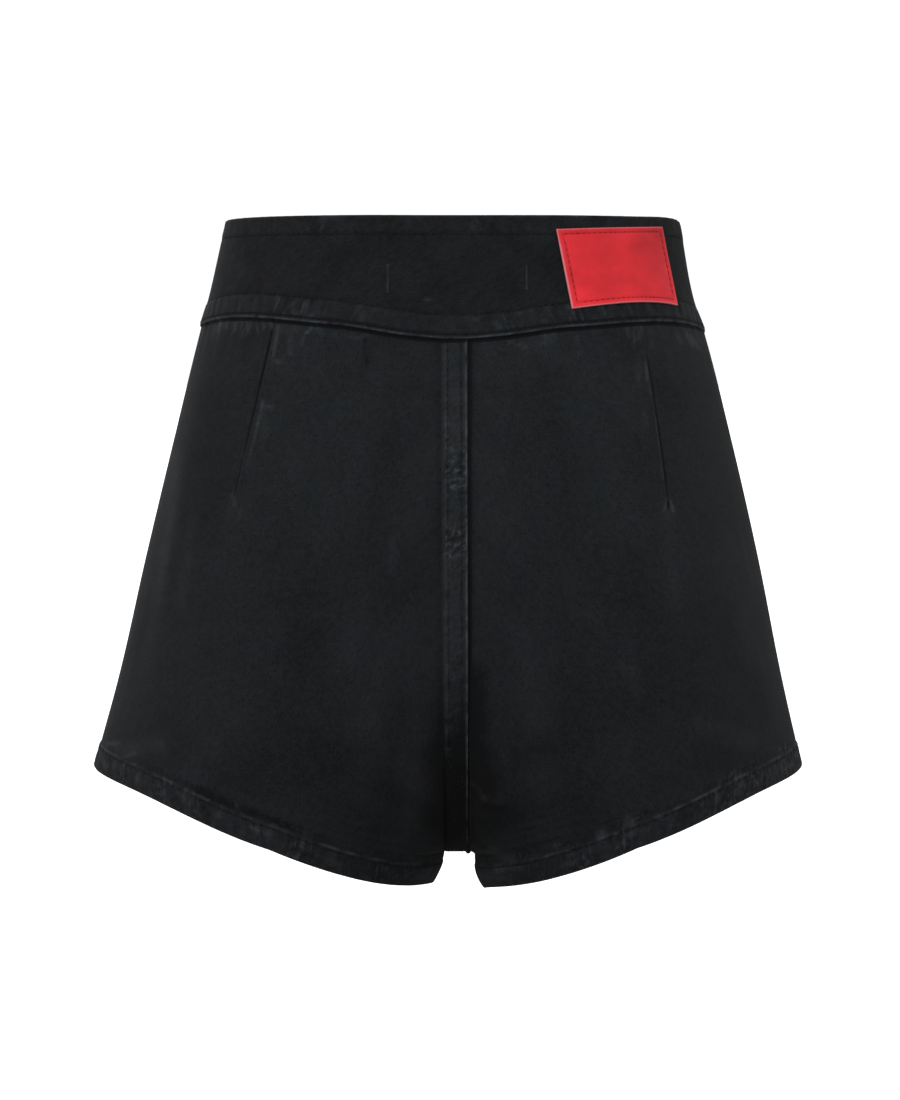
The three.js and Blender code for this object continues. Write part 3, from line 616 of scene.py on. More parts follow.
def centre_detail(face, side, u, v):
    """Flat centre seam: on the left it rises over its own layers, with a dip along each stitch row,
    small cross ripples between them, pale flecks along the rows and a rubbed outer edge that also
    carries a painted highlight. The lap's ripple crests and inner ridge are paler, partly wear and
    partly painted highlight, and it gets painted shade in the dips, towards the crotch and as a thin
    shadow at its fold. The cloth beside it gets painted shade, more so towards the crotch and on
    the right, where a painted shadow line runs along the lap's edge; on the left a narrow strip
    beside the ridge is paler, partly wear and partly painted highlight."""
    drop = drop_at(face, side, u, v)
    on_lap = np.maximum(u - 1, 0) * LAP_WIDTH
    beside = np.where(u < 1, to_centre(face, side, u, v), 0)
    deep = ease((drop - 205) / 90)
    # Painted shade beside the seam, wider and deeper towards the crotch.
    shadow = -(0.06 + (0.20 if side == "right" else 0.08) * deep) * bump(beside, 4 + 14 * deep) * (u < 1)
    # On the right, a painted shadow line along the lap's folded edge.
    if side == "right":
        return -0.25 * bump(beside, 1.6), shadow - 0.55 * bump(beside, 1.5)
    seed = 131 if face == "back" else 141
    lifted = LAP["rise"] * ease((u - 1) * LAP_WIDTH / (LAP["step"] * 1.6))
    dips = bump(on_lap - LAP_ROWS[0], 0.7) + bump(on_lap - LAP_ROWS[1], 0.7)
    ripple = noise(seed, drop / 2.4, on_lap / 9) + 0.5 * noise(seed + 1, drop / 5.5)
    between = ease(on_lap / 2) * ease((LAP_WIDTH - on_lap) / 1.5)
    rise = lifted - 0.30 * dips * between + 0.12 * ripple * between
    worn = 1 - 0.8 * ease((drop - 250) / 60)
    edge = (0.38 + 0.38 * noise(seed + 2, drop / 1.8) + 0.16 * noise(seed + 3, drop / 14)
            + 0.30 * ease((drop - 215) / 60)) * (1 - 0.5 * ease((drop - 308) / 12))
    flecks = np.clip(noise(seed + 4, drop / 1.3, on_lap / 1.5), 0, 1) * ease((drop - 110) / 60)
    # On the lap: paler ripple crests and ridge, partly wear and partly painted highlight; painted shade in
    # the stitch dips and towards the crotch; a rubbed edge with a painted highlight, and a thin painted
    # shadow at the fold.
    fade = np.where(u < 1, shadow + 0.08 * bump(beside, 1.2) * worn, worn * (
        0.07 + 0.06 * np.clip(ripple, 0, 1) * between - 0.10 * dips
        + 0.30 * flecks * bump(on_lap - 2.6, 1.2)
        + 0.18 * flecks * bump(on_lap - 8.6, 1.0)
        + (0.11 + 0.12 * ripple) * bump(on_lap - 1.2, 1.2)) - 0.28 * deep
        + edge * bump(LAP_WIDTH - 0.7 - on_lap, 0.5) - 0.35 * bump(LAP_WIDTH - on_lap, 0.25))
    return rise, fade


def crease_detail(face, side, u, v):
    """Troughs and ridges: the depth of each times a bell of the distance from its line, shallower
    towards its outer end. The troughs are painted darker and the ridges paler in step, as painted
    shade and highlight."""
    at = surface(face, side, u, v)
    x, drop = np.abs(at[..., 0]), -at[..., 2]
    sunk = np.zeros_like(x)
    for x1, drop1, x2, drop2, depth, half in TROUGHS[f"{face}_{side}"]:
        away, share = from_line(x, drop, x1, drop1, x2, drop2)
        sunk += depth * bump(away, half) * (1 - 0.7 * share)
    # Troughs painted darker and ridges paler: painted shade and highlight.
    return -sunk * ease((1.003 - u) / 0.06), -0.05 * sunk


def panel_detail(face, side, u, v, sizes):
    """Everything that shapes a panel and makes it paler or darker, by wear and by painted light and
    shade, with the cloth's slow unevenness between seams.
    """
    seed = 201 + 3 * QUARTERS.index((face, side))
    along = from_side(face, side, u, v)
    drop = drop_at(face, side, u, v)
    fine_rise, fade = 0.0, 0.0
    for rise_part, fade_part in (
        hem_detail(face, side, u, v, sizes), waist_seam_detail(face, side, u, v, sizes),
        dart_detail(face, side, u, v), centre_detail(face, side, u, v),
    ):
        fine_rise, fade = fine_rise + rise_part, fade + fade_part
    broad_rise, crease_fade = crease_detail(face, side, u, v)
    inner = ease(along / 22) * ease(to_centre(face, side, u, v) / 16)
    inner = inner * ease((drop - seam_drop(face, side, u)) / 12)
    inner = inner * ease((hem_drop(face, side, u) - drop) / 26)
    swell = noise(seed, along / 46, drop / 60) + 0.45 * noise(seed + 1, along / 19, drop / 26)
    broad_rise = broad_rise + sizes.unevenness / MM * swell * inner
    # Upright streaks near the side seam and a paler strip at the seam: painted light of the brighter
    # sides, broken up by noise.
    streak = np.clip(noise(seed + 2, along / 6, drop / 55), 0, 1)
    sides = bump(along - 34, 18) * bump(drop - 175, 65) * streak
    fade = fade + crease_fade + pale_marks_and_shade(face, side, u, v) + 0.10 * sides + 0.02 * bump(along, 9)
    # Darker towards the hem: painted shade of the lower part.
    fade = fade + 0.035 * noise(seed, along / 24, drop / 30) - 0.02 * ease((drop - 225) / 110)
    fade = fade + 0.20 * bump(along - 1.2, 0.7) + 0.012 * (side == "right")
    fine_rise = fine_rise - 0.25 * bump(along, 1.3)
    return broad_rise, fine_rise, fade


def band_detail(face, side, u, v, sizes):
    """Relief, wear and painted light of the waistband: a dip along each stitch row with painted shade
    in it, puffed and rippled strips between the rows and the edges whose crests are paler, partly
    wear and partly painted highlight, a rolled lower edge that is rubbed pale and carries a painted
    highlight, and one short pale dash on the left of the back."""
    seed = 301 + 3 * QUARTERS.index((face, side))
    along = from_side(face, side, u, v)
    drop = drop_at(face, side, u, v)
    above = seam_drop(face, side, u) - drop
    below = drop - edge_drop(face, side, u)
    low_strip = ease((BAND_ROWS["lower"] - above) / 1.5) * ease(above / 2)
    top_strip = ease((BAND_ROWS["upper"] - below) / 1.5)
    ripple = np.sin((along + 0.5 * above) * 2 * math.pi / 7.5 + 2.2 * noise(seed, along / 26))
    ripple = ripple * (0.6 + 0.4 * noise(seed + 1, along / 15))
    ripple = ripple + 0.5 * noise(seed + 2, along / 4, above / 6)
    dips = bump(above - BAND_ROWS["lower"], 0.85) + bump(below - BAND_ROWS["upper"], 0.85)
    edge_dip = bump(above - BAND_ROWS["edge"], 0.7)
    swell = noise(seed + 3, along / 40, drop / 24) * ease(above / 14) * ease(below / 14)
    rise = (0.18 * (low_strip + top_strip) - 0.16 * dips - 0.08 * edge_dip
            + sizes.roping / MM * 0.5 * ripple * (low_strip + 0.5 * top_strip)
            + 0.22 * swell)
    worn = noise(seed + 4, along / 11, drop / 9)
    crest = np.clip(ripple * 0.6 + 0.15, 0, 1)
    flecks = noise(seed + 5, along / 1.7) * 0.6 + noise(seed + 8, along / 5) * 0.5
    outer = ease((95 - along) / 60)
    middle = 1 - ease((along - 26) / 40) if side == "left" else ease((24 - along) / 20)
    # Painted shade in the stitch dips, paler crests partly as painted highlight, and a painted highlight
    # with wear along the rolled lower edge.
    fade = (0.03 * low_strip + 0.01 * top_strip - 0.04 - 0.03 * dips + 0.03 * worn
            + (0.06 + 0.08 * outer) * crest * low_strip + 0.05 * crest * top_strip
            + np.clip(0.60 + 0.16 * worn + 0.60 * flecks + 0.25 * middle, 0.08, 1.2)
            * bump(above - 0.6, 0.38)
            + (0.12 + 0.12 * worn) * ease((1.3 - below) / 0.9)
            + 0.08 * outer * np.clip(noise(seed + 6, along / 5, drop / 4), 0, 1)
            + 0.16 * ease((14 - along) / 12) * bump(below - 4, 5)
            * (0.6 + 0.6 * noise(seed + 7, along / 3, drop / 3))
            - 0.16 * bump(above - 2.3, 0.5))
    if face == "back":
        fade = fade + 0.20 * bump(drop - 41.7, 0.6) * bump(along - 162.5, 2.6) * (side == "left")
    return np.clip(rise, -0.6, 0.3), fade


def band_ripples(face, side, u, v):
    """Ripples of the waistband's two stitched strips, as (strength, distance along them, distance
    across them), both distances shortened because these ripples are wider than a hem's."""
    seed = 331 + 3 * QUARTERS.index((face, side))
    along, drop = from_side(face, side, u, v), drop_at(face, side, u, v)
    above, below = seam_drop(face, side, u) - drop, drop - edge_drop(face, side, u)
    low = 0.8 * ease((BAND_ROWS["lower"] - above) / 1.5) * ease((above - 1.6) / 2)
    top = 0.4 * ease((BAND_ROWS["upper"] - below) / 1.5)
    strength = (low + top) * np.clip(0.55 + 0.55 * noise(seed, along / 15), 0, 1)
    return strength, 0.5 * along, 0.4 * above


def round_edge(distance, radius):
    """How far a wall's face sinks near its edge, for a round edge: radius minus the height of a
    quarter circle over the distance from the edge."""
    t = np.clip(1 - distance / radius, 0, 1)
    return radius * (1 - np.sqrt(1 - t * t))


def rim_distance(share, down, wide, high):
    """Distance from the nearest edge of a flat piece, from the shares of its width and height."""
    return np.minimum(np.minimum(share, 1 - share) * wide, np.minimum(down, 1 - down) * high)


# Meshes


def close_wall(outer, inner, quads):
    """A closed wall: the outer points and faces, the inner points with the faces turned over, and a
    bridge along each edge that belongs to one face only."""
    count = len(outer)
    edges = np.concatenate([quads[:, [0, 1]], quads[:, [1, 2]], quads[:, [2, 3]], quads[:, [3, 0]]])
    low, high = edges.min(1), edges.max(1)
    _, first, times = np.unique(low * count + high, return_index=True, return_counts=True)
    rim = edges[first[times == 1]]
    bridge = np.stack([rim[:, 0], rim[:, 0] + count, rim[:, 1] + count, rim[:, 1]], 1)
    return np.concatenate([outer, inner]), np.concatenate([quads, quads[:, ::-1] + count, bridge])


def point_normals(points, quads):
    """Normals at the points of a mesh: the sum of the normals of the faces round each."""
    faces = np.cross(points[quads[:, 2]] - points[quads[:, 0]], points[quads[:, 3]] - points[quads[:, 1]])
    normals = np.zeros_like(points)
    for corner in range(4):
        np.add.at(normals, quads[:, corner], faces)
    return normals


def unit(vectors):
    """Vectors of length 1."""
    return vectors / np.maximum(np.linalg.norm(vectors, axis=-1, keepdims=True), 1e-12)


def grid_quads(ids):
    """Faces between neighbours of a grid of point numbers."""
    return np.stack([ids[:-1, :-1], ids[:-1, 1:], ids[1:, 1:], ids[1:, :-1]], -1).reshape(-1, 4)


def make_piece(name, points, quads, material, uv=None, values=None, second=None):
    """A smooth mesh object, from points in millimetres. uv is one pair for each point, values are
    named numbers for each point, and second is (material, how many faces come before its own)."""
    mesh = bpy.data.meshes.new(name)
    mesh.vertices.add(len(points))
    mesh.vertices.foreach_set("co", (points * MM).astype(np.float32).ravel())
    mesh.loops.add(quads.size)
    mesh.loops.foreach_set("vertex_index", quads.astype(np.int32).ravel())
    mesh.polygons.add(len(quads))
    mesh.polygons.foreach_set("loop_start", np.arange(0, quads.size, 4, dtype=np.int32))
    mesh.update(calc_edges=True)
    mesh.polygons.foreach_set("use_smooth", np.ones(len(quads), bool))
    mesh.materials.append(material)
    if second is not None:
        mesh.materials.append(second[0])
        mesh.polygons.foreach_set("material_index", second[1].astype(np.int32))
    if uv is not None:
        layer = mesh.uv_layers.new(name="cloth")
        layer.uv.foreach_set("vector", uv[quads.ravel()].astype(np.float32).ravel())
    for key, numbers in (values or {}).items():
        attribute = mesh.attributes.new(key, "FLOAT", "POINT")
        attribute.data.foreach_set("value", numbers.astype(np.float32))
    mesh.validate()
    piece = bpy.data.objects.new(name, mesh)
    bpy.context.collection.objects.link(piece)
    return piece


def cloth_piece(name, base, normals, quads, out, inside, uv, fade, ripples=None, tuck=0.0):
    """A wall of cloth whose outer face has the dyed side's material and the rest the inner side's.
    The edge between them belongs to the dyed side. Both faces carry the paleness from wear and
    painted light and shade, and the strength of the ripples and the distances along and across
    them. The tuck moves the inner face's points."""
    points, faces = close_wall(
        base + normals * out[:, None], base - normals * inside[:, None] + tuck, quads)
    count = len(quads)
    index = np.zeros(len(faces))
    index[count:2 * count] = 1
    strength, reach, across = ripples if ripples is not None else np.zeros((3, len(base)))
    values = {"fade": fade, "ripple": strength, "ripple_at": reach, "ripple_up": across}
    return make_piece(
        name, points, faces, bpy.data.materials["denim_outer"], np.concatenate([uv, uv]),
        {key: np.concatenate([numbers, numbers]) for key, numbers in values.items()},
        (bpy.data.materials["denim_inner"], index))


def panel_rows(face, side, u):
    """The v of each row at each u: even down to the hip, by the crotch curve's angle from there to
    the crotch, and then at set heights above the hem."""
    seam, hem = seam_drop(face, side, 1.0), hem_drop(face, side, 1.0)
    hip, crotch = (HIP_DROP - seam) / (hem - seam), (CROTCH_DROP - seam) / (hem - seam)
    first = np.concatenate([[0, 0.0016, 0.004, 0.0075], np.linspace(0.0125, hip, 62)])
    angle = np.linspace(0, math.pi / 2, 96)[1:]
    second = mix(hip, crotch, np.sin(angle) ** (2 / CROTCH_FULLNESS))
    body = np.concatenate([first, second])
    length = hem_drop(face, side, u) - seam_drop(face, side, u)
    above = np.concatenate([np.linspace(13, 1.6, 20), [1.1, 0.7, 0.38, 0.15, 0]])
    turned = 1 - above[:, None] / length
    share = np.linspace(0, 1, 13)[1:-1, None]
    rows = np.concatenate([np.tile(body[:, None], (1, len(u))), mix(crotch, turned[:1], share), turned])
    return rows, len(body) - 1


def panel_grid(face, side):
    """Grid of a panel as (u, v, faces, row of the crotch): the columns from the side seam to the
    centre edge on all the rows, and on a left panel those of the lap down to the crotch."""
    dart = sum(DART[side]) / 2
    close = [(1, 0.03, 1.2)] + ([(dart, 0.03, 1.6)] if face == "back" else [])
    columns = even_columns(face, side, 1.75, close)
    v, crotch_row = panel_rows(face, side, columns)
    u = np.tile(columns, (len(v), 1))
    ids = np.arange(u.size).reshape(u.shape)
    quads = grid_quads(ids)
    u, v_flat = u.ravel(), v.ravel()
    if side == "left":
        share = np.concatenate([np.linspace(0.03, 0.12, 4), np.linspace(0.18, 0.94, 15), [0.97, 0.99, 1]])
        rows = crotch_row + 1
        strip = np.arange(rows * len(share)).reshape(rows, -1) + len(u)
        strip = np.concatenate([ids[:rows, -1:], strip], 1)
        quads = np.concatenate([quads, grid_quads(strip)])
        u = np.concatenate([u, np.tile(1 + share, rows)])
        v_flat = np.concatenate([v_flat, np.repeat(v[:rows, -1], len(share))])
    return u, v_flat, quads, v[crotch_row, -1]


def build_panel(face, side, sizes):
    """A front or back panel: the surface's points moved out by relief, hem and lap, and in by the
    thickness of the cloth, with round edges at the hem and the lap."""
    u, v, quads, crotch_v = panel_grid(face, side)
    base = surface(face, side, u, v)
    below_crotch = v >= crotch_v - 1e-9
    on_side, on_inseam = u == 0, (u >= 1) & below_crotch
    shift = FACES[face] * SEAM_GAP / 2
    base[on_side | on_inseam, 1] += shift
    if side == "right":
        base[(u == 1) & (v <= crotch_v + 1e-9), 0] -= SEAM_GAP / 2
    base[v == 0, 2] -= SEAM_GAP / 5
    turned = (side == "left") == (face == "back")
    ordered = quads if not turned else quads[:, ::-1]
    normals = point_normals(base, ordered)
    normals[on_side | on_inseam, 1] = 0
    if side == "left":
        normals[(u == 2) & ~below_crotch, 0] = 0
    normals = unit(normals)
    broad, fine, fade = panel_detail(face, side, u, v, sizes)
    at_rest = ease((crotch_v - v) / 0.02 + 0.15)
    broad = broad * np.where(u > 0.9, at_rest, 1)
    fine = fine * np.where(u > 0.97, np.maximum(at_rest, 0.2), 1)
    above = above_hem(face, side, u, v)
    in_hem = hem_share(above)
    rounding = round_edge(above, 1.0)
    if side == "left":
        rounding = np.maximum(rounding, round_edge((2 - u) * LAP_WIDTH, 0.5))
    out = HEM["out"] * in_hem + broad + fine - rounding
    inside = mix(CLOTH, HEM["in"], in_hem) - broad - rounding * 0.6
    along = from_side(face, side, u, v)
    uv = np.stack([along, -drop_at(face, side, u, v)], 1)
    tuck = np.zeros_like(base)
    if face == "back":
        tuck[on_side | on_inseam, 1] = -SEAM_TUCK
    piece = cloth_piece(f"{face}_{side}_cloth", base, normals, ordered, out, inside, uv, fade,
                        ripple_marks(face, side, u, v), tuck)
    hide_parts(f"{face}_{side}")
    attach(piece, "root")
    return piece


def band_stations(face, side, ends):
    """Values of u along one quarter of the waistband."""
    columns = even_columns(face, side, 1.5)
    return np.concatenate([columns, ends])


def band_rows():
    """Values of v down the waistband, closer at its edges and stitch rows."""
    down = np.concatenate([[0, 0.004, 0.010, 0.018, 0.028], np.linspace(0.045, 0.955, 56),
                           [0.965, 0.974, 0.982, 0.990, 0.996, 1]])
    return down - 1


def build_waistband(sizes):
    """The waistband: one strip from the left front end round the back to the right front end, which
    runs on behind the left end as the underlap."""
    lap = np.linspace(1, 2, 12)[1:]
    under = np.linspace(1, UNDERLAP["end"], 22)[1:]
    stretches = [
        ("front", "left", band_stations("front", "left", lap)[::-1]),
        ("back", "left", band_stations("back", "left", lap[:5])[1:]),
        ("back", "right", band_stations("back", "right", ())[::-1]),
        ("front", "right", band_stations("front", "right", under)[1:]),
    ]
    v = band_rows()[:, None]
    keys = ("base", "out", "inside", "fade", "along", "ripple", "ripple_at", "ripple_up")
    columns = {key: [] for key in keys}
    reach = 0.0
    for face, side, u in stretches:
        grid_u, grid_v = np.broadcast_arrays(u[None, :], v)
        base = surface(face, side, grid_u, grid_v)
        rise, fade = band_detail(face, side, grid_u, grid_v, sizes)
        share = np.zeros_like(rise)
        if (face, side) == ("front", "right"):
            share = ease((UNDERLAP["from"] + base[..., 0]) / (UNDERLAP["from"] - UNDERLAP["whole"]))
        inward = UNDERLAP["inward"] * share
        drop = -base[..., 2]
        near = np.minimum(drop - edge_drop(face, side, grid_u), seam_drop(face, side, grid_u) - drop)
        rounding = round_edge(near, 1.1)
        columns["base"].append(base)
        columns["out"].append(BAND["out"] - inward - rounding + rise * (1 - share))
        columns["inside"].append(BAND["in"] + inward - rounding * 0.7)
        columns["fade"].append(fade * (1 - share))
        strength, reach_along, reach_up = band_ripples(face, side, grid_u, grid_v)
        columns["ripple"].append(strength * (1 - share))
        columns["ripple_at"].append(reach_along)
        columns["ripple_up"].append(reach_up)
        arc = from_side(face, side, grid_u, grid_v)
        arc = np.abs(arc - arc[:, :1]) + reach
        reach = arc[:, -1:] + 1.5
        columns["along"].append(arc)
    base, out, inside, fade, along, *ripples = (np.concatenate(columns[key], 1) for key in columns)
    ids = np.arange(out.size).reshape(out.shape)
    quads = grid_quads(ids)[:, ::-1]
    base = base.reshape(-1, 3)
    normals = unit(point_normals(base, quads))
    uv = np.stack([along.ravel(), base[:, 2]], 1)
    piece = cloth_piece("waistband_cloth", base, normals, quads, out.ravel(), inside.ravel(), uv,
                        fade.ravel(), [part.ravel() for part in ripples])
    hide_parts("waistband")
    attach(piece, "root")
    return piece


# Stitches


def on_cloth(face, side, u, v, sizes):
    """Points of the dressed cloth's outer face and the directions that it faces there."""
    base, normal = surface(face, side, u, v), facing(face, side, u, v)
    if np.mean(v) < 0:
        lift = BAND["out"] + band_detail(face, side, u, v, sizes)[0]
    else:
        broad, fine, _ = panel_detail(face, side, u, v, sizes)
        lift = HEM["out"] * hem_share(above_hem(face, side, u, v)) + broad + fine
    return base + normal * lift[..., None], normal


def laid_flat(along, normals):
    """Directions laid flat on the cloth: each less its part along the normal, made of length 1."""
    return unit(along - normals * (along * normals).sum(1, keepdims=True))


def stitch_row(points, normals, sizes):
    """Stitches along a path: places a stitch and a gap apart, with their directions, from dense
    points in order and the normals there."""
    steps = np.linalg.norm(np.diff(points, axis=0), axis=1)
    keep = np.concatenate([[True], steps > 1e-6])
    points, normals = points[keep], normals[keep]
    length = running(np.linalg.norm(np.diff(points, axis=0), axis=1))
    pitch = (sizes.stitch_length + sizes.stitch_gap) / MM
    at = np.arange(pitch / 2, length[-1] - pitch / 2, pitch)
    sample = lambda values, where: np.stack([np.interp(where, length, values[:, k]) for k in range(3)], 1)
    along = unit(sample(points, at + 0.9) - sample(points, at - 0.9))
    return sample(points, at), along, unit(sample(normals, at))


def build_stitches(name, rows, length, radius, material):
    """Stitches as one mesh: each is a tube of six sides through five rings, thickest and highest at
    its middle, whose ends dive into the cloth."""
    centres, along, up = (np.concatenate(part) for part in zip(*rows))
    side = unit(np.cross(along, up))
    up = np.cross(side, along)
    ring_at = np.array([-0.5, -0.36, 0.0, 0.36, 0.5]) * length
    ring_up = np.array([-0.9, 0.1, 0.45, 0.1, -0.9]) * radius
    ring_size = np.array([0.45, 0.9, 1.0, 0.9, 0.45]) * radius
    turn = np.arange(6) * math.pi / 3
    local_up = ring_up[:, None] + ring_size[:, None] * np.sin(turn)
    local_side = ring_size[:, None] * np.cos(turn)
    shape = (len(centres), 5, 6, 3)
    points = np.broadcast_to(centres[:, None, None, :], shape) + (
        ring_at[None, :, None, None] * along[:, None, None, :]
        + local_up[None, :, :, None] * up[:, None, None, :]
        + local_side[None, :, :, None] * side[:, None, None, :])
    ring, spoke = np.meshgrid(np.arange(4), np.arange(6), indexing="ij")
    one = np.stack([ring * 6 + spoke, ring * 6 + (spoke + 1) % 6,
                    (ring + 1) * 6 + (spoke + 1) % 6, (ring + 1) * 6 + spoke], -1).reshape(-1, 4)
    caps = np.array([[3, 2, 1, 0], [5, 4, 3, 0], [24, 25, 26, 27], [24, 27, 28, 29]])
    one = np.concatenate([one[:, ::-1], caps[:, ::-1]])
    quads = (one[None] + np.arange(len(centres))[:, None, None] * 30).reshape(-1, 4)
    piece = make_piece(name, points.reshape(-1, 3), quads, material)
    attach(piece, "root")
    return piece


def row_across(face, side, height, sizes, kind):
    """Path from the side seam to the centre at a height above the hem or the waist seam, or below
    the waist edge. A hem's path ends just before the inseam."""
    u = np.linspace(0.004, 0.985 if kind == "hem" else 1.0, 240)
    if kind == "hem":
        v = 1 - height / (hem_drop(face, side, u) - seam_drop(face, side, u))
    else:
        deep = seam_drop(face, side, u) - edge_drop(face, side, u)
        v = height / deep - 1 if kind == "upper" else -height / deep
    return on_cloth(face, side, u, v, sizes)


# Materials


class Graph:
    """Shader nodes of one material, with short calls for the nodes used here."""

    def __init__(self, name):
        self.material = bpy.data.materials.new(name)
        self.material.use_nodes = True
        self.tree = self.material.node_tree
        self.shader = self.tree.nodes["Principled BSDF"]

    def add(self, kind, inputs=None, **settings):
        """A node of a kind, with its settings, whose inputs take numbers or other nodes' outputs."""
        made = self.tree.nodes.new(kind)
        for key, value in settings.items():
            setattr(made, key, value)
        for key, value in (inputs or {}).items():
            self.put(made.inputs[key], value)
        return made

    def put(self, socket, value):
        """Links an output to a socket, or sets the socket's own value."""
        if isinstance(value, bpy.types.NodeSocket):
            self.tree.links.new(value, socket)
        else:
            socket.default_value = value

    def number(self, operation, *values, clamp=False):
        """Output of a Math node."""
        made = self.add("ShaderNodeMath", dict(enumerate(values)), operation=operation)
        made.use_clamp = clamp
        return made.outputs[0]

    def blend(self, share, a, b, mode="MIX"):
        """Output of a colour blend from a to b."""
        made = self.add("ShaderNodeMix", data_type="RGBA", blend_type=mode)
        for socket, value in zip((made.inputs[0], made.inputs[6], made.inputs[7]), (share, a, b)):
            self.put(socket, value)
        return made.outputs[2]

    def place(self, source, scale, turn=0.0):
        """Coordinates scaled, and turned about Z."""
        made = self.add("ShaderNodeMapping", {"Vector": source})
        made.inputs["Scale"].default_value = scale
        made.inputs["Rotation"].default_value = (0, 0, turn)
        return made.outputs[0]

    def cloud(self, source, scale, detail=2.0, roughness=0.5):
        """Output of a Noise texture, about 0.5 in the middle."""
        made = self.add("ShaderNodeTexNoise", {
            "Vector": source, "Scale": scale, "Detail": detail, "Roughness": roughness})
        return made.outputs[0]

    def patches(self, source, scale, detail=2.0, roughness=0.5):
        """Output of a Noise texture over coordinates scaled by their own amounts."""
        return self.cloud(self.place(source, scale), 1.0, detail, roughness)

    def attribute(self, key):
        """Output of one of the piece's own named numbers."""
        return self.add("ShaderNodeAttribute", attribute_name=key).outputs["Fac"]

    def grey(self, tone):
        """A colour whose three parts are one number."""
        parts = {"Red": tone, "Green": tone, "Blue": tone}
        return self.add("ShaderNodeCombineColor", parts).outputs[0]

    def wave(self, value, pitch):
        """Output of the sine of a value, which repeats at each pitch."""
        return self.number("SINE", self.number("MULTIPLY", value, 2 * math.pi / pitch))

    def about_half(self, value, amount, base):
        """Output of a base plus an amount times how far a value lies from 0.5."""
        return self.number("MULTIPLY_ADD", self.number("SUBTRACT", value, 0.5), amount, base)

    def range(self, value, low, high, to_low=0.0, to_high=1.0):
        """Output of a Map Range node, held between its ends."""
        made = self.add("ShaderNodeMapRange", {
            "Value": value, "From Min": low, "From Max": high, "To Min": to_low, "To Max": to_high})
        return made.outputs[0]

    def relief(self, height, distance, strength=1.0, under=None):
        """Output of a Bump node, over another one if given."""
        inputs = {"Height": height, "Distance": distance, "Strength": strength}
        if under is not None:
            inputs["Normal"] = under
        return self.add("ShaderNodeBump", inputs).outputs[0]

    def finish(self, **values):
        """Sets or links the shader's inputs, given with underscores for spaces."""
        for key, value in values.items():
            self.put(self.shader.inputs[key.replace("_", " ")], value)
        return self.material


def opaque(colour):
    """A colour with full alpha."""
    return (*colour, 1.0)


def times(colour, amount):
    """A colour made brighter or darker: each part times an amount, 1 at most."""
    return tuple(min(1.0, part * amount) for part in colour)


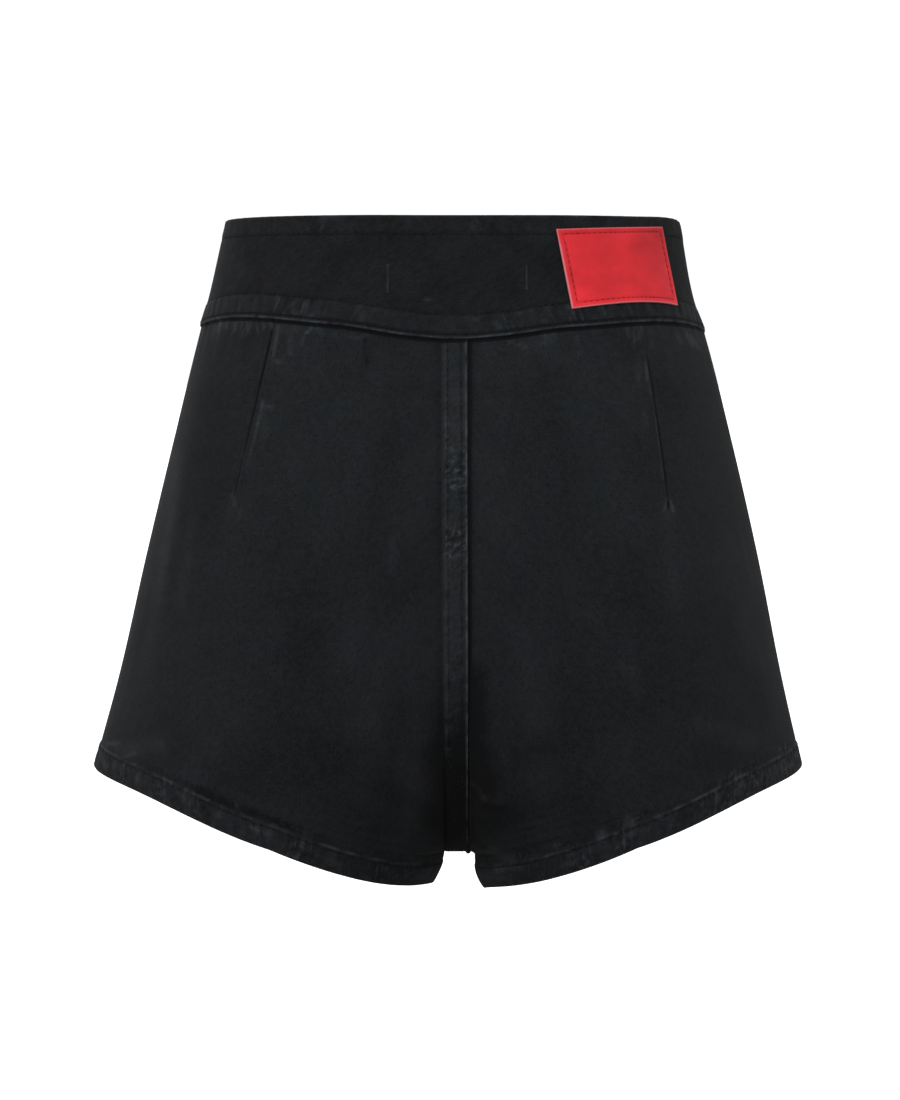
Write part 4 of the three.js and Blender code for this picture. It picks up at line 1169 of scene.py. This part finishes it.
def denim_material(name, dye, worn, worn_share, twill_turn):
    """Washed denim. The dye gives way to the worn colour by the piece's wear and painted light, by
    blotches and patches, by upright and level slubs, by small flecks and by the crests of stitched
    ripples, a noise about 3 mm long over the piece's two ripple distances, with short pale flicks on
    them; the crests and flicks are partly wear and partly painted highlight. The dye is darker where
    the piece's value is below 0, which carries painted shade, in small nicks, and in the ripples'
    hollows as painted shade. A twill of slanted wales, 0.9 mm apart, gives fine bumps, with slubs
    and ripples under it, and slow clouds tint the black a little warm or cool."""
    graph = Graph(name)
    place = graph.add("ShaderNodeUVMap", uv_map="cloth").outputs[0]
    fade, strength = graph.attribute("fade"), graph.attribute("ripple")
    twill = graph.add("ShaderNodeTexWave", {
        "Vector": graph.place(place, (0.349, 0.349, 1), twill_turn), "Scale": 1.0, "Distortion": 0.4,
        "Detail": 1.0, "Detail Scale": 3.0}, wave_type="BANDS", bands_direction="X").outputs[1]
    upright = graph.patches(place, (1.3, 0.30, 1), 3.0, 0.6)
    level = graph.patches(place, (0.30, 1.3, 1), 3.0, 0.6)
    blotch = graph.patches(place, (0.055, 0.05, 1), 3.0, 0.5)
    mottle = graph.patches(place, (0.33, 0.30, 1), 3.0, 0.6)
    speck = graph.patches(place, (1.5, 1.0, 1), 1.0, 0.4)
    nick = graph.patches(place, (1.1, 0.55, 2), 1.0, 0.4)
    across = graph.add("ShaderNodeCombineXYZ", {
        "X": graph.attribute("ripple_at"), "Y": graph.attribute("ripple_up")}).outputs[0]
    ripple = graph.patches(across, (0.34, 0.30, 1), 1.0, 0.5)
    wave = graph.number("MULTIPLY", graph.range(ripple, 0.33, 0.67, -1.0, 1.0), strength)
    crest = graph.number("POWER", graph.number("MAXIMUM", wave, 0.0), 2.0)
    patchy = graph.patches(place, (0.13, 0.11, 1), 2.0, 0.5)
    share = graph.number("MULTIPLY_ADD", fade, 0.62, worn_share)
    for source, amount in (
        (upright, 0.085), (level, 0.075), (blotch, 0.05), (mottle, 0.15), (patchy, 0.05),
    ):
        share = graph.about_half(source, amount, share)
    # Paler ripple crests and flicks: partly wear, partly painted highlight.
    share = graph.number("MULTIPLY_ADD", wave, 0.03, share)
    share = graph.number("MULTIPLY_ADD", crest, 0.23, share)
    flick = graph.range(graph.patches(across, (0.62, 0.20, 4), 1.0, 0.5), 0.60, 0.72)
    share = graph.number("MULTIPLY_ADD", graph.number("MULTIPLY", flick, strength), 0.22, share)
    share = graph.number("MULTIPLY_ADD", graph.range(speck, 0.64, 0.78), 0.13, share)
    share = graph.number("MULTIPLY_ADD", graph.number("SUBTRACT", twill, 0.5), 0.012, share, clamp=True)
    colour = graph.blend(share, opaque(dye), opaque(worn))
    # Darker where the piece's value is below 0, which carries painted shade, in nicks, and in the ripples'
    # hollows as painted shade.
    dark = graph.number("MULTIPLY", graph.range(fade, -0.9, 0.0, 0.35, 1.0),
                        graph.range(nick, 0.29, 0.39, 0.55, 1.0))
    dark = graph.number("MULTIPLY", dark, graph.range(wave, -1.0, 0.0, 0.72, 1.0))
    warm = graph.range(graph.patches(place, (0.035, 0.045, 3), 3.0), 0.35, 0.65, 0.93, 1.05)
    cool = graph.range(graph.patches(place, (0.05, 0.06, 7)), 0.35, 0.65, 0.97, 1.05)
    colour = graph.blend(1.0, colour, graph.add("ShaderNodeCombineColor", {
        "Red": graph.number("MULTIPLY", dark, warm), "Green": dark,
        "Blue": graph.number("MULTIPLY", dark, cool)}).outputs[0], "MULTIPLY")
    slubs = graph.relief(graph.number("ADD", upright, level), 0.00012, 0.7)
    ripples = graph.relief(wave, 0.0003, 0.6, slubs)
    wales = graph.relief(twill, 0.00003, 0.7, ripples)
    return graph.finish(
        Base_Color=colour, Roughness=graph.range(mottle, 0.2, 0.8, 0.84, 0.96), Normal=wales,
        Specular_IOR_Level=0.10, Sheen_Weight=0.018, Sheen_Roughness=0.5)


def thread_material(name, colour, worn):
    """Sewing thread: its colour varied from stitch to stitch by noise on object coordinates, rubbed
    to the worn colour in places, with a fine slanted twist."""
    graph = Graph(name)
    place = graph.add("ShaderNodeTexCoord").outputs["Object"]
    shade = graph.range(graph.cloud(place, 160.0, 2.0), 0.3, 0.7, 0.55, 1.7)
    tone = graph.blend(1.0, opaque(colour), graph.grey(shade), "MULTIPLY")
    rubbed = graph.number("MULTIPLY", graph.range(graph.cloud(place, 90.0, 2.0), 0.44, 0.62),
                          graph.range(graph.cloud(place, 420.0, 1.0), 0.40, 0.60))
    twist = graph.add("ShaderNodeTexWave", {
        "Vector": graph.place(place, (900, 900, 900), 0.8), "Scale": 1.0,
    }, bands_direction="DIAGONAL").outputs[1]
    return graph.finish(
        Base_Color=graph.blend(rubbed, tone, opaque(worn)), Roughness=0.8,
        Normal=graph.relief(twist, 0.00006, 0.6), Specular_IOR_Level=0.06, Sheen_Weight=0.01)


def leather_material(name, face, edge):
    """Dyed leather: soft clouds of a darker red, paler towards the lower edge, a fine pebbled grain
    in the bump, pale cut edges by the piece's edge value and a darker groove by its groove value."""
    graph = Graph(name)
    place = graph.add("ShaderNodeUVMap", uv_map="cloth").outputs[0]
    cut, groove = graph.attribute("cut_edge"), graph.attribute("groove")
    cloud = graph.patches(place, (0.05, 0.06, 1), 3.0)
    fine = graph.patches(place, (0.9, 0.9, 1), 4.0, 0.6)
    tone = graph.about_half(fine, 0.22, graph.about_half(cloud, 0.9, 0.92))
    tone = graph.number("MULTIPLY_ADD", groove, -0.30, tone)
    height = graph.add("ShaderNodeSeparateXYZ", {"Vector": place}).outputs[1]
    tone = graph.number("MULTIPLY", tone, graph.range(height, -PATCH["high"], -8.0, 1.20, 0.97))
    colour = graph.blend(1.0, opaque(face), graph.grey(tone), "MULTIPLY")
    colour = graph.blend(graph.number("MULTIPLY", cut, 0.85), colour, opaque(edge))
    grain = graph.add("ShaderNodeTexVoronoi", {
        "Vector": graph.place(place, (1.5, 1.5, 1)), "Scale": 1.0}, feature="SMOOTH_F1").outputs[0]
    return graph.finish(
        Base_Color=colour, Roughness=graph.range(fine, 0.3, 0.7, 0.46, 0.62),
        Normal=graph.relief(grain, 0.00008, 0.5, graph.relief(fine, 0.0001, 0.5)),
        Specular_IOR_Level=0.14, Coat_Weight=0.02, Coat_Roughness=0.4)


def metal_material(name, colour):
    """Dark brushed metal with small worn spots, by noise on object coordinates."""
    graph = Graph(name)
    place = graph.add("ShaderNodeTexCoord").outputs["Object"]
    brushed = graph.patches(place, (1500, 1500, 120), 3.0, 0.6)
    spots = graph.range(graph.cloud(place, 420.0, 3.0, 0.6), 0.45, 0.75)
    bright = opaque(times(colour, 2.2))
    return graph.finish(
        Base_Color=graph.blend(spots, opaque(colour), bright), Metallic=1.0,
        Roughness=graph.range(brushed, 0.3, 0.7, 0.28, 0.48), Normal=graph.relief(brushed, 0.00004, 0.5))


def zip_material(name, tape, metal):
    """Zip: ribbed woven tape, and close to the leaning centre line a metal chain whose teeth are a
    wave down the object's Z, with the gaps between them painted as darkened metal, painted shade."""
    graph = Graph(name)
    place = graph.add("ShaderNodeTexCoord").outputs["Object"]
    parts = graph.add("ShaderNodeSeparateXYZ", {"Vector": place})
    lean = CENTRE_LEAN / CROTCH_DROP
    away = graph.number("ABSOLUTE", graph.number("MULTIPLY_ADD", parts.outputs[2], lean, parts.outputs[0]))
    chain = graph.range(away, ZIP["chain_outside"] * MM, ZIP["chain_inside"] * MM)
    teeth = graph.wave(parts.outputs[2], ZIP["tooth_pitch"] * MM)
    teeth = graph.range(teeth, -0.4, 0.4)
    rib = graph.wave(parts.outputs[0], ZIP["rib_pitch"] * MM)
    weave = graph.patches(place, (1400, 1400, 500))
    cloth = graph.blend(weave, opaque(tape), opaque(times(tape, 3)))
    # The gaps between the teeth are painted shade: a darkened metal.
    steel = graph.blend(teeth, opaque(times(metal, 0.25)), opaque(metal))
    height = graph.blend(chain, graph.range(rib, -1, 1), teeth)
    return graph.finish(
        Base_Color=graph.blend(chain, cloth, steel), Metallic=chain,
        Roughness=graph.range(chain, 0, 1, 0.85, 0.38), Normal=graph.relief(height, 0.0003, 0.8))


# Operators


class SHORTS_OT_materials(bpy.types.Operator):
    """Makes the materials of the cloth, thread, leather and metal."""

    bl_idname = "shorts.materials"
    bl_label = "Materials"

    def execute(self, context):
        colours = context.scene.shorts_colours
        denim_material("denim_outer", colours.denim, colours.worn, 0.068, math.radians(28))
        denim_material("denim_inner", colours.inner, (0.105, 0.108, 0.112), 0.25, math.radians(-28))
        for name, plain, worn in (
            ("thread_dark", 1, 2), ("thread_worn", 1.4, 4), ("thread_bar", 6, 13),
        ):
            thread_material(name, times(colours.thread, plain), times(colours.thread, worn))
        red = times(colours.leather, 0.35)
        thread_material("thread_red", red, times(red, 1.4))
        leather_material("red_leather", colours.leather, colours.leather_edge)
        metal_material("dark_metal", colours.metal)
        zip_material("zip_tape_chain", colours.tape, colours.metal)
        return {"FINISHED"}


class SHORTS_OT_panels(bpy.types.Operator):
    """Builds the four panels, with hems, darts, creases and the flat centre seams."""

    bl_idname = "shorts.panels"
    bl_label = "Panels"

    def execute(self, context):
        sizes = context.scene.shorts_sizes
        for face, side in QUARTERS:
            build_panel(face, side, sizes)
        return {"FINISHED"}


class SHORTS_OT_waistband(bpy.types.Operator):
    """Builds the deep waistband with its underlap."""

    bl_idname = "shorts.waistband"
    bl_label = "Waistband"

    def execute(self, context):
        build_waistband(context.scene.shorts_sizes)
        return {"FINISHED"}


class SHORTS_OT_patch(bpy.types.Operator):
    """Builds the plain leather patch on the back of the waistband."""

    bl_idname = "shorts.patch"
    bl_label = "Leather patch"

    def execute(self, context):
        sizes = context.scene.shorts_sizes
        near = np.array([0, 0.15, 0.35, 0.6, 1.0, 1.5])
        wide, high = PATCH["wide"], PATCH["high"]
        share, down = (
            np.concatenate([near / size, np.linspace(2.0 / size, 1 - 2.0 / size, count),
                            1 - near[::-1] / size])
            for size, count in ((wide, 76), (high, 56)))
        share, down = np.meshgrid(share, down)
        base, normals = patch_place(share, down)
        edge = rim_distance(share, down, wide, high)
        dent = bump(edge - PATCH["groove"], 0.45)
        puff = 0.22 * ease((edge - PATCH["groove"]) / 6) + 0.10 * noise(401, share * 4, down * 3)
        start = BAND["out"] + SEAM_GAP
        out = start + PATCH["thick"] - 0.12 - 0.26 * dent + puff - round_edge(edge, 0.5)
        ids = np.arange(share.size).reshape(share.shape)
        quads = grid_quads(ids)[:, ::-1]
        points, quads = close_wall(
            (base + normals * out[..., None]).reshape(-1, 3),
            (base + normals * start).reshape(-1, 3), quads)
        uv = np.stack([share.ravel() * wide, -down.ravel() * high], 1)
        weight = np.where((share * wide < 0.9) | (down * high > high - 0.9), 1.0, 0.45).ravel()
        cut = ease((0.75 - edge.ravel()) / 0.4) * weight
        piece = make_piece(
            "leather_patch", points, quads, bpy.data.materials["red_leather"], np.concatenate([uv, uv]),
            {"cut_edge": np.concatenate([cut, np.ones(len(cut))]),
             "groove": np.concatenate([dent.ravel(), dent.ravel() * 0])})
        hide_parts("waist_patch")
        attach(piece, "root")
        build_patch_stitches(sizes)
        return {"FINISHED"}


def patch_place(share, down):
    """Points and directions under the patch: its slanted sides and bowed lower edge, laid on the
    right half of the waistband by their distance from the middle."""
    inner = mix(PATCH["top_inner"], PATCH["low_inner"], down)
    outer = mix(PATCH["top_outer"], PATCH["low_outer"], down)
    top = mix(PATCH["inner_drop"], PATCH["outer_drop"], share)
    drop = mix(top, PATCH["low_drop"], down) - PATCH["bow"] * 4 * share * (1 - share) * down
    v = drop / seam_drop("back", "right", 0.3) - 1
    u = mix(across_at("back", "right", inner, v), across_at("back", "right", outer, v), share)
    return surface("back", "right", u, v), facing("back", "right", u, v)


def build_patch_stitches(sizes):
    """Stitches in the groove round the patch, in a thread of its own colour."""
    a, b = PATCH["groove"] / PATCH["wide"], PATCH["groove"] / PATCH["high"]
    t = np.linspace(0, 1, 60)
    corners = [(a, b), (1 - a, b), (1 - a, 1 - b), (a, 1 - b), (a, b)]
    rows = []
    for (share1, down1), (share2, down2) in zip(corners, corners[1:]):
        base, normals = patch_place(mix(share1, share2, t), mix(down1, down2, t))
        lift = BAND["out"] + SEAM_GAP + PATCH["thick"] - 0.34
        rows.append(stitch_row(base + normals * lift, normals, sizes))
    piece = build_stitches("patch_stitches", rows, 2.3, 0.2, bpy.data.materials["thread_red"])


class SHORTS_OT_fly(bpy.types.Operator):
    """Builds the guard strip behind the fly and gives the zip and its slider their finish."""

    bl_idname = "shorts.fly"
    bl_label = "Fly"

    def execute(self, context):
        near = np.array([0, 0.004, 0.01, 0.02])
        share = np.concatenate([near, np.linspace(0.035, 0.965, 38), 1 - near[::-1]])
        down = np.concatenate([near / 2, np.linspace(0.018, 0.982, 80), 1 - near[::-1] / 2])
        share, down = np.meshgrid(share, down)
        cut = SHIELD["corner_cut"] * np.maximum(0, down - SHIELD["corner_from"])
        cut = cut / (1 - SHIELD["corner_from"])
        x = mix(-SHIELD["right"], SHIELD["left"] - cut, share)
        top = seam_drop("front", "left", 1.0) + SEAM_GAP * 2
        base = front_middle(x, top + FLY_LENGTH * down)
        inward = mix(CLOTH + SEAM_GAP, SHIELD["inward"], ease(share * 2.4))
        ids = np.arange(share.size).reshape(share.shape)
        quads = grid_quads(ids)[:, ::-1]
        flat = base.reshape(-1, 3)
        normals = unit(point_normals(flat, quads))
        edge = rim_distance(share, down, SHIELD["mean_width"], FLY_LENGTH)
        rounding = round_edge(edge, 0.6).ravel()
        fade = (0.35 * ease((1.4 - edge) / 1.0) + 0.06 * noise(421, share * 7, down * 16)).ravel()
        uv = np.stack([x.ravel(), -down.ravel() * FLY_LENGTH], 1)
        piece = cloth_piece("fly_shield_cloth", flat, normals, quads, -inward.ravel() - rounding,
                            inward.ravel() + SHIELD["thick"] - rounding, uv, fade)
        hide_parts("fly_shield")
        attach(piece, "root")
        for node, material in (("fly_zip", "zip_tape_chain"), ("fly_zip_slider", "dark_metal")):
            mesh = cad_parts[node].data
            mesh.materials.clear()
            mesh.materials.append(bpy.data.materials[material])
        return {"FINISHED"}


def front_middle(x, drop):
    """Points on the middle of the front, x to the wearer's left, at a drop from the waist edge."""
    points = np.zeros((*x.shape, 3))
    for side, chosen in (("right", x < 0), ("left", x >= 0)):
        away = np.abs(x[chosen])
        seam = seam_drop("front", side, 1.0)
        v = (drop[chosen] - seam) / (hem_drop("front", side, 1.0) - seam)
        u = np.where(away > LAP_WIDTH / 2, across_at("front", side, away, v), 1.5 - away / LAP_WIDTH)
        points[chosen] = surface("front", side, u, v)
    return points


class SHORTS_OT_buttons(bpy.types.Operator):
    """Turns the two plain buttons of the waistband, with their sewn buttonholes."""

    bl_idname = "shorts.buttons"
    bl_label = "Buttons"

    def execute(self, context):
        sizes = context.scene.shorts_sizes
        holes = []
        for name in ("upper", "lower"):
            v = np.array([BUTTON[name] / seam_drop("front", "left", 1.0) - 1])
            u = across_at("front", "left", np.array([float(BUTTON["x"])]), v)
            normal = facing("front", "left", u, v)[0]
            centre = surface("front", "left", u, v)[0] + normal * (BAND["out"] + SEAM_GAP)
            piece = turn_button(f"button_{name}_cap", centre, normal)
            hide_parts(f"button_{name}")
            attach(piece, "root")
            holes.append(buttonhole_row(float(v[0]), sizes))
        build_stitches("buttonhole_stitches", holes, 2.3, 0.3, bpy.data.materials["thread_dark"])
        return {"FINISHED"}


def turn_button(name, centre, normal):
    """A button turned about its normal: a shank plate, a rolled rim, a hollow ring and a low dome.
    The profile, whose rows are shares of the radius and the height, is carried round the stations."""
    radius, height = BUTTON["radius"], BUTTON["height"]
    profile = np.array([
        (0, 0), (0.45, 0), (0.5, 0.12), (0.52, 0.17), (0.9, 0.17), (0.955, 0.2), (0.99, 0.27),
        (1.0, 0.38), (1.0, 0.5), (0.985, 0.62), (0.955, 0.71), (0.91, 0.77), (0.86, 0.785),
        (0.81, 0.76), (0.775, 0.71), (0.74, 0.69), (0.68, 0.70), (0.6, 0.76), (0.5, 0.83),
        (0.38, 0.9), (0.25, 0.955), (0.12, 0.985), (0, 0.99)]) * (radius, height)
    stations = BUTTON["stations"]
    turns = np.linspace(0, 2 * math.pi, stations + 1)[:-1]
    helper = np.array([1.0, 0, 0])
    across = unit(np.cross(normal, helper))
    other = np.cross(normal, across)
    ring = np.cos(turns)[:, None] * across + np.sin(turns)[:, None] * other
    middle = profile[1:-1]
    points = centre + middle[:, None, 1:2] * normal + middle[:, None, :1] * ring[None]
    ids = np.arange(len(middle) * stations).reshape(len(middle), stations)
    ids = np.concatenate([ids, ids[:, :1]], 1)
    quads = grid_quads(ids)
    points = points.reshape(-1, 3)
    low, high = len(points), len(points) + 1
    points = np.concatenate([points, [centre, centre + normal * profile[-1, 1]]])
    even = np.arange(0, stations, 2)
    first, last = ids[0], ids[-1]
    lids = [np.stack([np.full_like(even, low), first[even + 2], first[even + 1], first[even]], 1),
            np.stack([np.full_like(even, high), last[even], last[even + 1], last[even + 2]], 1)]
    quads = np.concatenate([quads[:, ::-1], *[lid[:, ::-1] for lid in lids]])
    return make_piece(name, points, quads, bpy.data.materials["dark_metal"])


def buttonhole_row(v, sizes):
    """Stitches close together across both sides of a level slit, beside the button's place."""
    x = np.linspace(BUTTONHOLE["from"], BUTTONHOLE["to"], BUTTONHOLE["stitches"])
    rows = []
    for shift in (-BUTTONHOLE["half_slit"], BUTTONHOLE["half_slit"]):
        here_v = np.full(len(x), v + shift / SIDE_BAND_DROP)
        u = across_at("front", "left", x, here_v)
        points, normals = on_cloth("front", "left", u, here_v, sizes)
        rows.append((points, np.tile([0.0, 0.0, 1.0], (len(x), 1)), normals))
    centres, along, up = (np.concatenate(part) for part in zip(*rows))
    return centres, laid_flat(along, up), up


class SHORTS_OT_stitching(bpy.types.Operator):
    """Sews the rows of the waistband, hems, centre seams and fly, and the two bars of the back."""

    bl_idname = "shorts.stitching"
    bl_label = "Stitching"

    def execute(self, context):
        sizes = context.scene.shorts_sizes
        length, radius = sizes.stitch_length / MM, sizes.thread_radius / MM
        thread = bpy.data.materials["thread_dark"]
        band = [stitch_row(*row_across(face, side, height, sizes, kind), sizes)
                for kind, height in BAND_ROWS.items() for face, side in QUARTERS]
        build_stitches("waistband_stitches", band, length, radius, thread)
        hems = [stitch_row(*row_across(face, side, HEM_ROW, sizes, "hem"), sizes)
                for face, side in QUARTERS]
        build_stitches("hem_stitches", hems, length, radius, bpy.data.materials["thread_worn"])
        laps = []
        for face in FACES:
            for across in LAP_ROWS:
                turn = np.sin(np.linspace(0.01, math.pi / 2, 240)) ** (2 / CROTCH_FULLNESS)
                v = np.concatenate([np.linspace(LAP_SEWN["top"], LAP_SEWN["hip"], 120),
                                    mix(LAP_SEWN["hip"], LAP_SEWN["end"], turn)])
                u = np.full(len(v), 1 + across / LAP_WIDTH)
                laps.append(stitch_row(*on_cloth(face, "left", u, v, sizes), sizes))
        build_stitches("centre_stitches", laps, length, radius, bpy.data.materials["thread_worn"])
        build_stitches("fly_stitches", fly_rows(sizes), length, radius, thread)
        build_stitches("back_bars", bar_rows(sizes), 1.2, 0.24, bpy.data.materials["thread_bar"])
        return {"FINISHED"}


def fly_rows(sizes):
    """Two J rows on the left front: straight down beside the opening, then a quarter ellipse in to
    the centre seam."""
    rows = []
    for away in FLY_ROWS["away"]:
        turn_top = FLY_ROWS["bottom"] + (away - FLY_ROWS["away"][0]) - FLY_ROWS["turn"]
        turn = np.linspace(0, math.pi / 2, 80)[1:-3]
        x = np.concatenate([np.full(90, away), LAP_WIDTH / 2 + (away - LAP_WIDTH / 2) * np.cos(turn)])
        drop = np.concatenate([np.linspace(FLY_ROWS["top"], turn_top, 90),
                               turn_top + FLY_ROWS["turn"] * np.sin(turn)])
        seam, hem = (line("front", "left", 0.8) for line in (seam_drop, hem_drop))
        v = (drop - seam) / (hem - seam)
        u = across_at("front", "left", x, v)
        rows.append(stitch_row(*on_cloth("front", "left", u, v, sizes), sizes))
    return rows


def bar_rows(sizes):
    """Two upright bars on the back of the waistband: close level stitches, one above another."""
    rows = []
    for side, (x, top, low) in BARS.items():
        drop = np.arange(top, low, BAR_PITCH)
        v = drop / seam_drop("back", side, 0.75) - 1
        u = across_at("back", side, np.full(len(v), x), v)
        points, normals = on_cloth("back", side, u, v, sizes)
        along = np.tile([1.0, 0.0, 0.0], (len(v), 1))
        rows.append((points, laid_flat(along, normals), normals))
    return rows


class SHORTS_OT_stage(bpy.types.Operator):
    """Sets the pale floor, the soft lights and the camera at the photograph's angle."""

    bl_idname = "shorts.stage"
    bl_label = "Stage"

    def execute(self, context):
        graph = Graph("floor_paint")
        place = graph.add("ShaderNodeTexCoord").outputs["Object"]
        paint = graph.grey(graph.range(graph.cloud(place, 3.0, 3.0), 0.3, 0.7, 0.90, 0.92))
        graph.finish(
            Base_Color=paint, Roughness=0.9, Emission_Color=(1, 1, 1, 1), Emission_Strength=0.8)
        corners = np.array([(-1, -1), (1, -1), (1, 1), (-1, 1)]) * FLOOR["reach"]
        floor = make_piece("pale_floor", np.column_stack([corners, np.full(4, -FLOOR["drop"])]),
                           np.array([[0, 1, 2, 3]]), graph.material)
        floor.visible_diffuse = floor.visible_glossy = False
        build_world(context.scene)
        build_lights()
        build_camera(context.scene)
        return {"FINISHED"}


def build_world(scene):
    """A white surround that the camera sees at full strength and that lights the cloth softly."""
    world = bpy.data.worlds.new("white_room")
    scene.world = world
    world.use_nodes = True
    tree = world.node_tree
    background = tree.nodes["Background"]
    background.inputs["Color"].default_value = (1, 1, 1, 1)
    parts = tree.nodes.new("ShaderNodeSeparateXYZ")
    tree.links.new(tree.nodes.new("ShaderNodeTexCoord").outputs["Generated"], parts.inputs[0])
    height = tree.nodes.new("ShaderNodeMapRange")
    for key, value in (("From Min", -0.7), ("From Max", 0.9), ("To Min", 0.24), ("To Max", 0.88)):
        height.inputs[key].default_value = value
    tree.links.new(parts.outputs[2], height.inputs["Value"])
    strength = tree.nodes.new("ShaderNodeMix")
    strength.inputs[3].default_value = 1.05
    tree.links.new(tree.nodes.new("ShaderNodeLightPath").outputs["Is Camera Ray"], strength.inputs[0])
    tree.links.new(height.outputs[0], strength.inputs[2])
    tree.links.new(strength.outputs[0], background.inputs["Strength"])
    scene.view_settings.view_transform = "Standard"


def look(place, aim):
    """Rotation of a lamp or camera that looks from a place at an aim, with Y up."""
    return (Vector(aim) - Vector(place)).to_track_quat("-Z", "Y").to_euler()


def build_lights():
    """Soft boxes: a large one high behind the camera, one at each side, and a weak one at the
    front of the garment."""
    for name, place, size, power in (
        ("key", (0.5, 2.5, 1.3), 1.3, 43), ("left_box", (2.0, 0.9, 0.3), 1.2, 2.6),
        ("right_box", (-2.0, 0.8, 0.4), 1.2, 2.0), ("front_box", (0.4, -2.4, 1.0), 1.4, 22),
    ):
        light = bpy.data.lights.new(name, "AREA")
        light.energy, light.size, light.shape = power, size, "SQUARE"
        lamp = bpy.data.objects.new(name, light)
        lamp.location = place
        lamp.rotation_euler = look(place, LIGHT_AIM)
        bpy.context.collection.objects.link(lamp)


def build_camera(scene):
    """The camera behind the garment, a little above its middle."""
    camera = bpy.data.cameras.new("camera")
    camera.lens, camera.sensor_width, camera.sensor_fit = CAMERA["lens"], CAMERA["sensor"], "AUTO"
    eye = bpy.data.objects.new("camera", camera)
    eye.location = CAMERA["eye"]
    eye.rotation_euler = look(CAMERA["eye"], CAMERA["aim"])
    bpy.context.collection.objects.link(eye)
    scene.camera = eye


class SHORTS_PT_pieces(bpy.types.Panel):
    """Lists the pieces of the shorts and their settings in the 3D view's sidebar."""

    bl_label = "Denim shorts"
    bl_idname = "SHORTS_PT_pieces"
    bl_space_type = "VIEW_3D"
    bl_region_type = "UI"
    bl_category = "Shorts"

    def draw(self, context):
        for group in (context.scene.shorts_sizes, context.scene.shorts_colours):
            for key in group.__annotations__:
                self.layout.prop(group, key)
        for operator in OPERATORS:
            self.layout.operator(operator.bl_idname)


OPERATORS = (
    SHORTS_OT_materials, SHORTS_OT_panels, SHORTS_OT_waistband, SHORTS_OT_patch, SHORTS_OT_fly,
    SHORTS_OT_buttons, SHORTS_OT_stitching, SHORTS_OT_stage,
)
CLASSES = (ShortsSizes, ShortsColours, *OPERATORS, SHORTS_PT_pieces)


def register():
    """Registers the classes and the scene's settings."""
    for each in CLASSES:
        bpy.utils.register_class(each)
    bpy.types.Scene.shorts_sizes = PointerProperty(type=ShortsSizes)
    bpy.types.Scene.shorts_colours = PointerProperty(type=ShortsColours)


def unregister():
    """Takes the settings and the classes away again."""
    del bpy.types.Scene.shorts_colours
    del bpy.types.Scene.shorts_sizes
    for each in reversed(CLASSES):
        bpy.utils.unregister_class(each)


def main():
    """Builds every piece in order."""
    register()
    bpy.ops.shorts.materials()
    bpy.ops.shorts.panels()
    bpy.ops.shorts.waistband()
    bpy.ops.shorts.patch()
    bpy.ops.shorts.fly()
    bpy.ops.shorts.buttons()
    bpy.ops.shorts.stitching()
    bpy.ops.shorts.stage()


if __name__ == "__main__":
    main()
